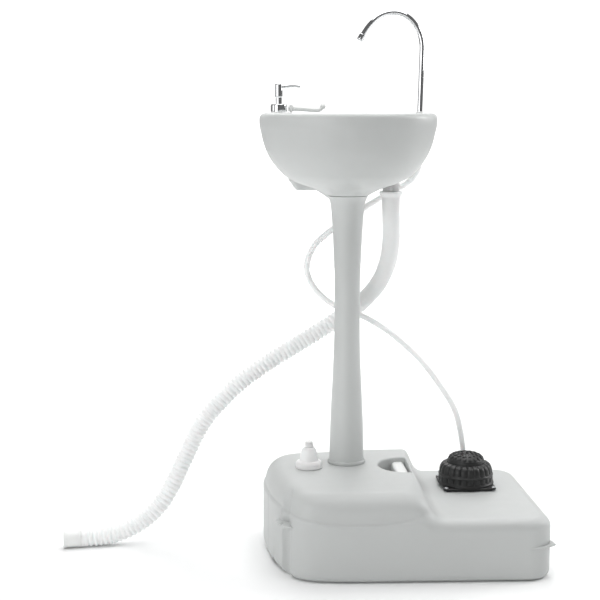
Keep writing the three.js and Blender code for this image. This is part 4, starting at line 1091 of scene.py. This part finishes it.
class SINK_OT_stage(bpy.types.Operator):
    """Lay a pale floor and light it softly from above and from both sides"""

    bl_idname = "sink.stage"
    bl_label = "Stage"

    def execute(self, context):
        scene = context.scene

        def sheet(name, corners):
            mesh = bpy.data.meshes.new(name)
            mesh.from_pydata(corners, [], [(0, 1, 2, 3)])
            piece = bpy.data.objects.new(name, mesh)
            scene.collection.objects.link(piece)
            material, tree, shader = nodes_of(name)
            mesh.materials.append(material)
            return tree, shader

        tree, shader = sheet("pale floor", [(-9, -7, 0), (9, -7, 0), (9, 4.5, 0), (-9, 4.5, 0)])
        paint = varied(tree, noise(tree, 3, 2), (0.955, 0.96, 0.96), 0.005)
        tree.links.new(paint, shader.inputs["Base Color"])
        put(shader, Roughness=0.9, Specular_IOR_Level=0.05, Emission_Color=(1, 1, 1, 1))
        # Far from the sink the floor glows, so that it meets the wall and the sky without a line.
        place, reach = tree.nodes.new("ShaderNodeTexCoord"), tree.nodes.new("ShaderNodeVectorMath")
        reach.operation = "LENGTH"
        tree.links.new(place.outputs["Object"], reach.inputs[0])
        seen, glow = tree.nodes.new("ShaderNodeLightPath"), tree.nodes.new("ShaderNodeMath")
        glow.operation = "MULTIPLY"
        tree.links.new(ranged(tree, reach.outputs["Value"], 0, 0.95, 1.5, 4.2), glow.inputs[0])
        tree.links.new(seen.outputs["Is Camera Ray"], glow.inputs[1])
        tree.links.new(glow.outputs["Value"], shader.inputs["Emission Strength"])
        tree, shader = sheet("lit wall", [(-5, 4.5, -0.1), (5, 4.5, -0.1), (5, 4.5, 4), (-5, 4.5, 4)])
        tree.links.new(varied(tree, noise(tree, 2, 2), (1, 1, 1), 0.004), shader.inputs["Emission Color"])
        seen = tree.nodes.new("ShaderNodeLightPath").outputs["Is Camera Ray"]
        tree.links.new(ranged(tree, seen, 0.55, 1.3, 0, 1), shader.inputs["Emission Strength"])
        put(shader, Base_Color=(0, 0, 0, 1))
        world = bpy.data.worlds.new("soft room")
        world.use_nodes = True
        tree = world.node_tree
        dim = put(tree.nodes["Background"], Color=(1, 1, 1, 1), Strength=0.15)
        bright = put(tree.nodes.new("ShaderNodeBackground"), Color=(1, 1, 1, 1), Strength=1.0)
        seen, both = tree.nodes.new("ShaderNodeLightPath"), tree.nodes.new("ShaderNodeMixShader")
        tree.links.new(seen.outputs["Is Camera Ray"], both.inputs[0])
        tree.links.new(dim.outputs[0], both.inputs[1])
        tree.links.new(bright.outputs[0], both.inputs[2])
        tree.links.new(both.outputs[0], tree.nodes["World Output"].inputs["Surface"])
        scene.world = world
        for name, place, aim, energy, size in (
            ("top softbox", (0.1, -0.1, 3.3), (0.1, 0, 0), 86, 3.2),
            ("back softbox", (0, 2.9, 3.0), (0, 2.6, 0), 75, 2.6),
            ("near softbox", (-3.0, -3.5, 1.35), (0, 0, 0.8), 66, 2.7),
            ("left softbox", (-3.2, -0.2, 1.5), (0, 0, 0.9), 10, 1.6),
            ("right softbox", (3.0, 0.7, 1.7), (0, 0, 0.6), 48, 1.6),
        ):
            data = bpy.data.lights.new(name, "AREA")
            data.energy, data.size = energy, size
            light = bpy.data.objects.new(name, data)
            light.location = place
            light.rotation_mode = "QUATERNION"
            light.rotation_quaternion = (Vector(aim) - Vector(place)).to_track_quat("-Z", "Y")
            scene.collection.objects.link(light)
        scene.view_settings.view_transform = "Standard"
        scene.view_settings.look = "None"
        return {"FINISHED"}


class SINK_PT_panel(bpy.types.Panel):
    """The sink's sizes, colours and build steps"""

    bl_idname = "SINK_PT_panel"
    bl_label = "Sink"
    bl_space_type = "VIEW_3D"
    bl_region_type = "UI"
    bl_category = "Sink"

    def draw(self, context):
        for group in (context.scene.sink_sizes, context.scene.sink_colours):
            for key in group.bl_rna.properties.keys():
                if key not in ("rna_type", "name"):
                    self.layout.prop(group, key)
        for step in STEPS:
            self.layout.operator(step.bl_idname)


STEPS = (
    SINK_OT_camera, SINK_OT_hoses, SINK_OT_tank, SINK_OT_wheels, SINK_OT_filler_cap, SINK_OT_foot_pump,
    SINK_OT_springs, SINK_OT_column, SINK_OT_basin, SINK_OT_drain, SINK_OT_tap, SINK_OT_soap_dispenser,
    SINK_OT_towel_arm, SINK_OT_hidden_parts, SINK_OT_stage,
)
CLASSES = (SinkSizes, SinkColours, *STEPS, SINK_PT_panel)


def register():
    for cls in CLASSES:
        bpy.utils.register_class(cls)
    bpy.types.Scene.sink_sizes = PointerProperty(type=SinkSizes)
    bpy.types.Scene.sink_colours = PointerProperty(type=SinkColours)


def unregister():
    del bpy.types.Scene.sink_colours
    del bpy.types.Scene.sink_sizes
    for cls in reversed(CLASSES):
        bpy.utils.unregister_class(cls)


def main():
    """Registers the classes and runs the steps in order."""
    register()
    for step in STEPS:
        group, name = step.bl_idname.split(".")
        getattr(getattr(bpy.ops, group), name)()


if __name__ == "__main__":
    main()
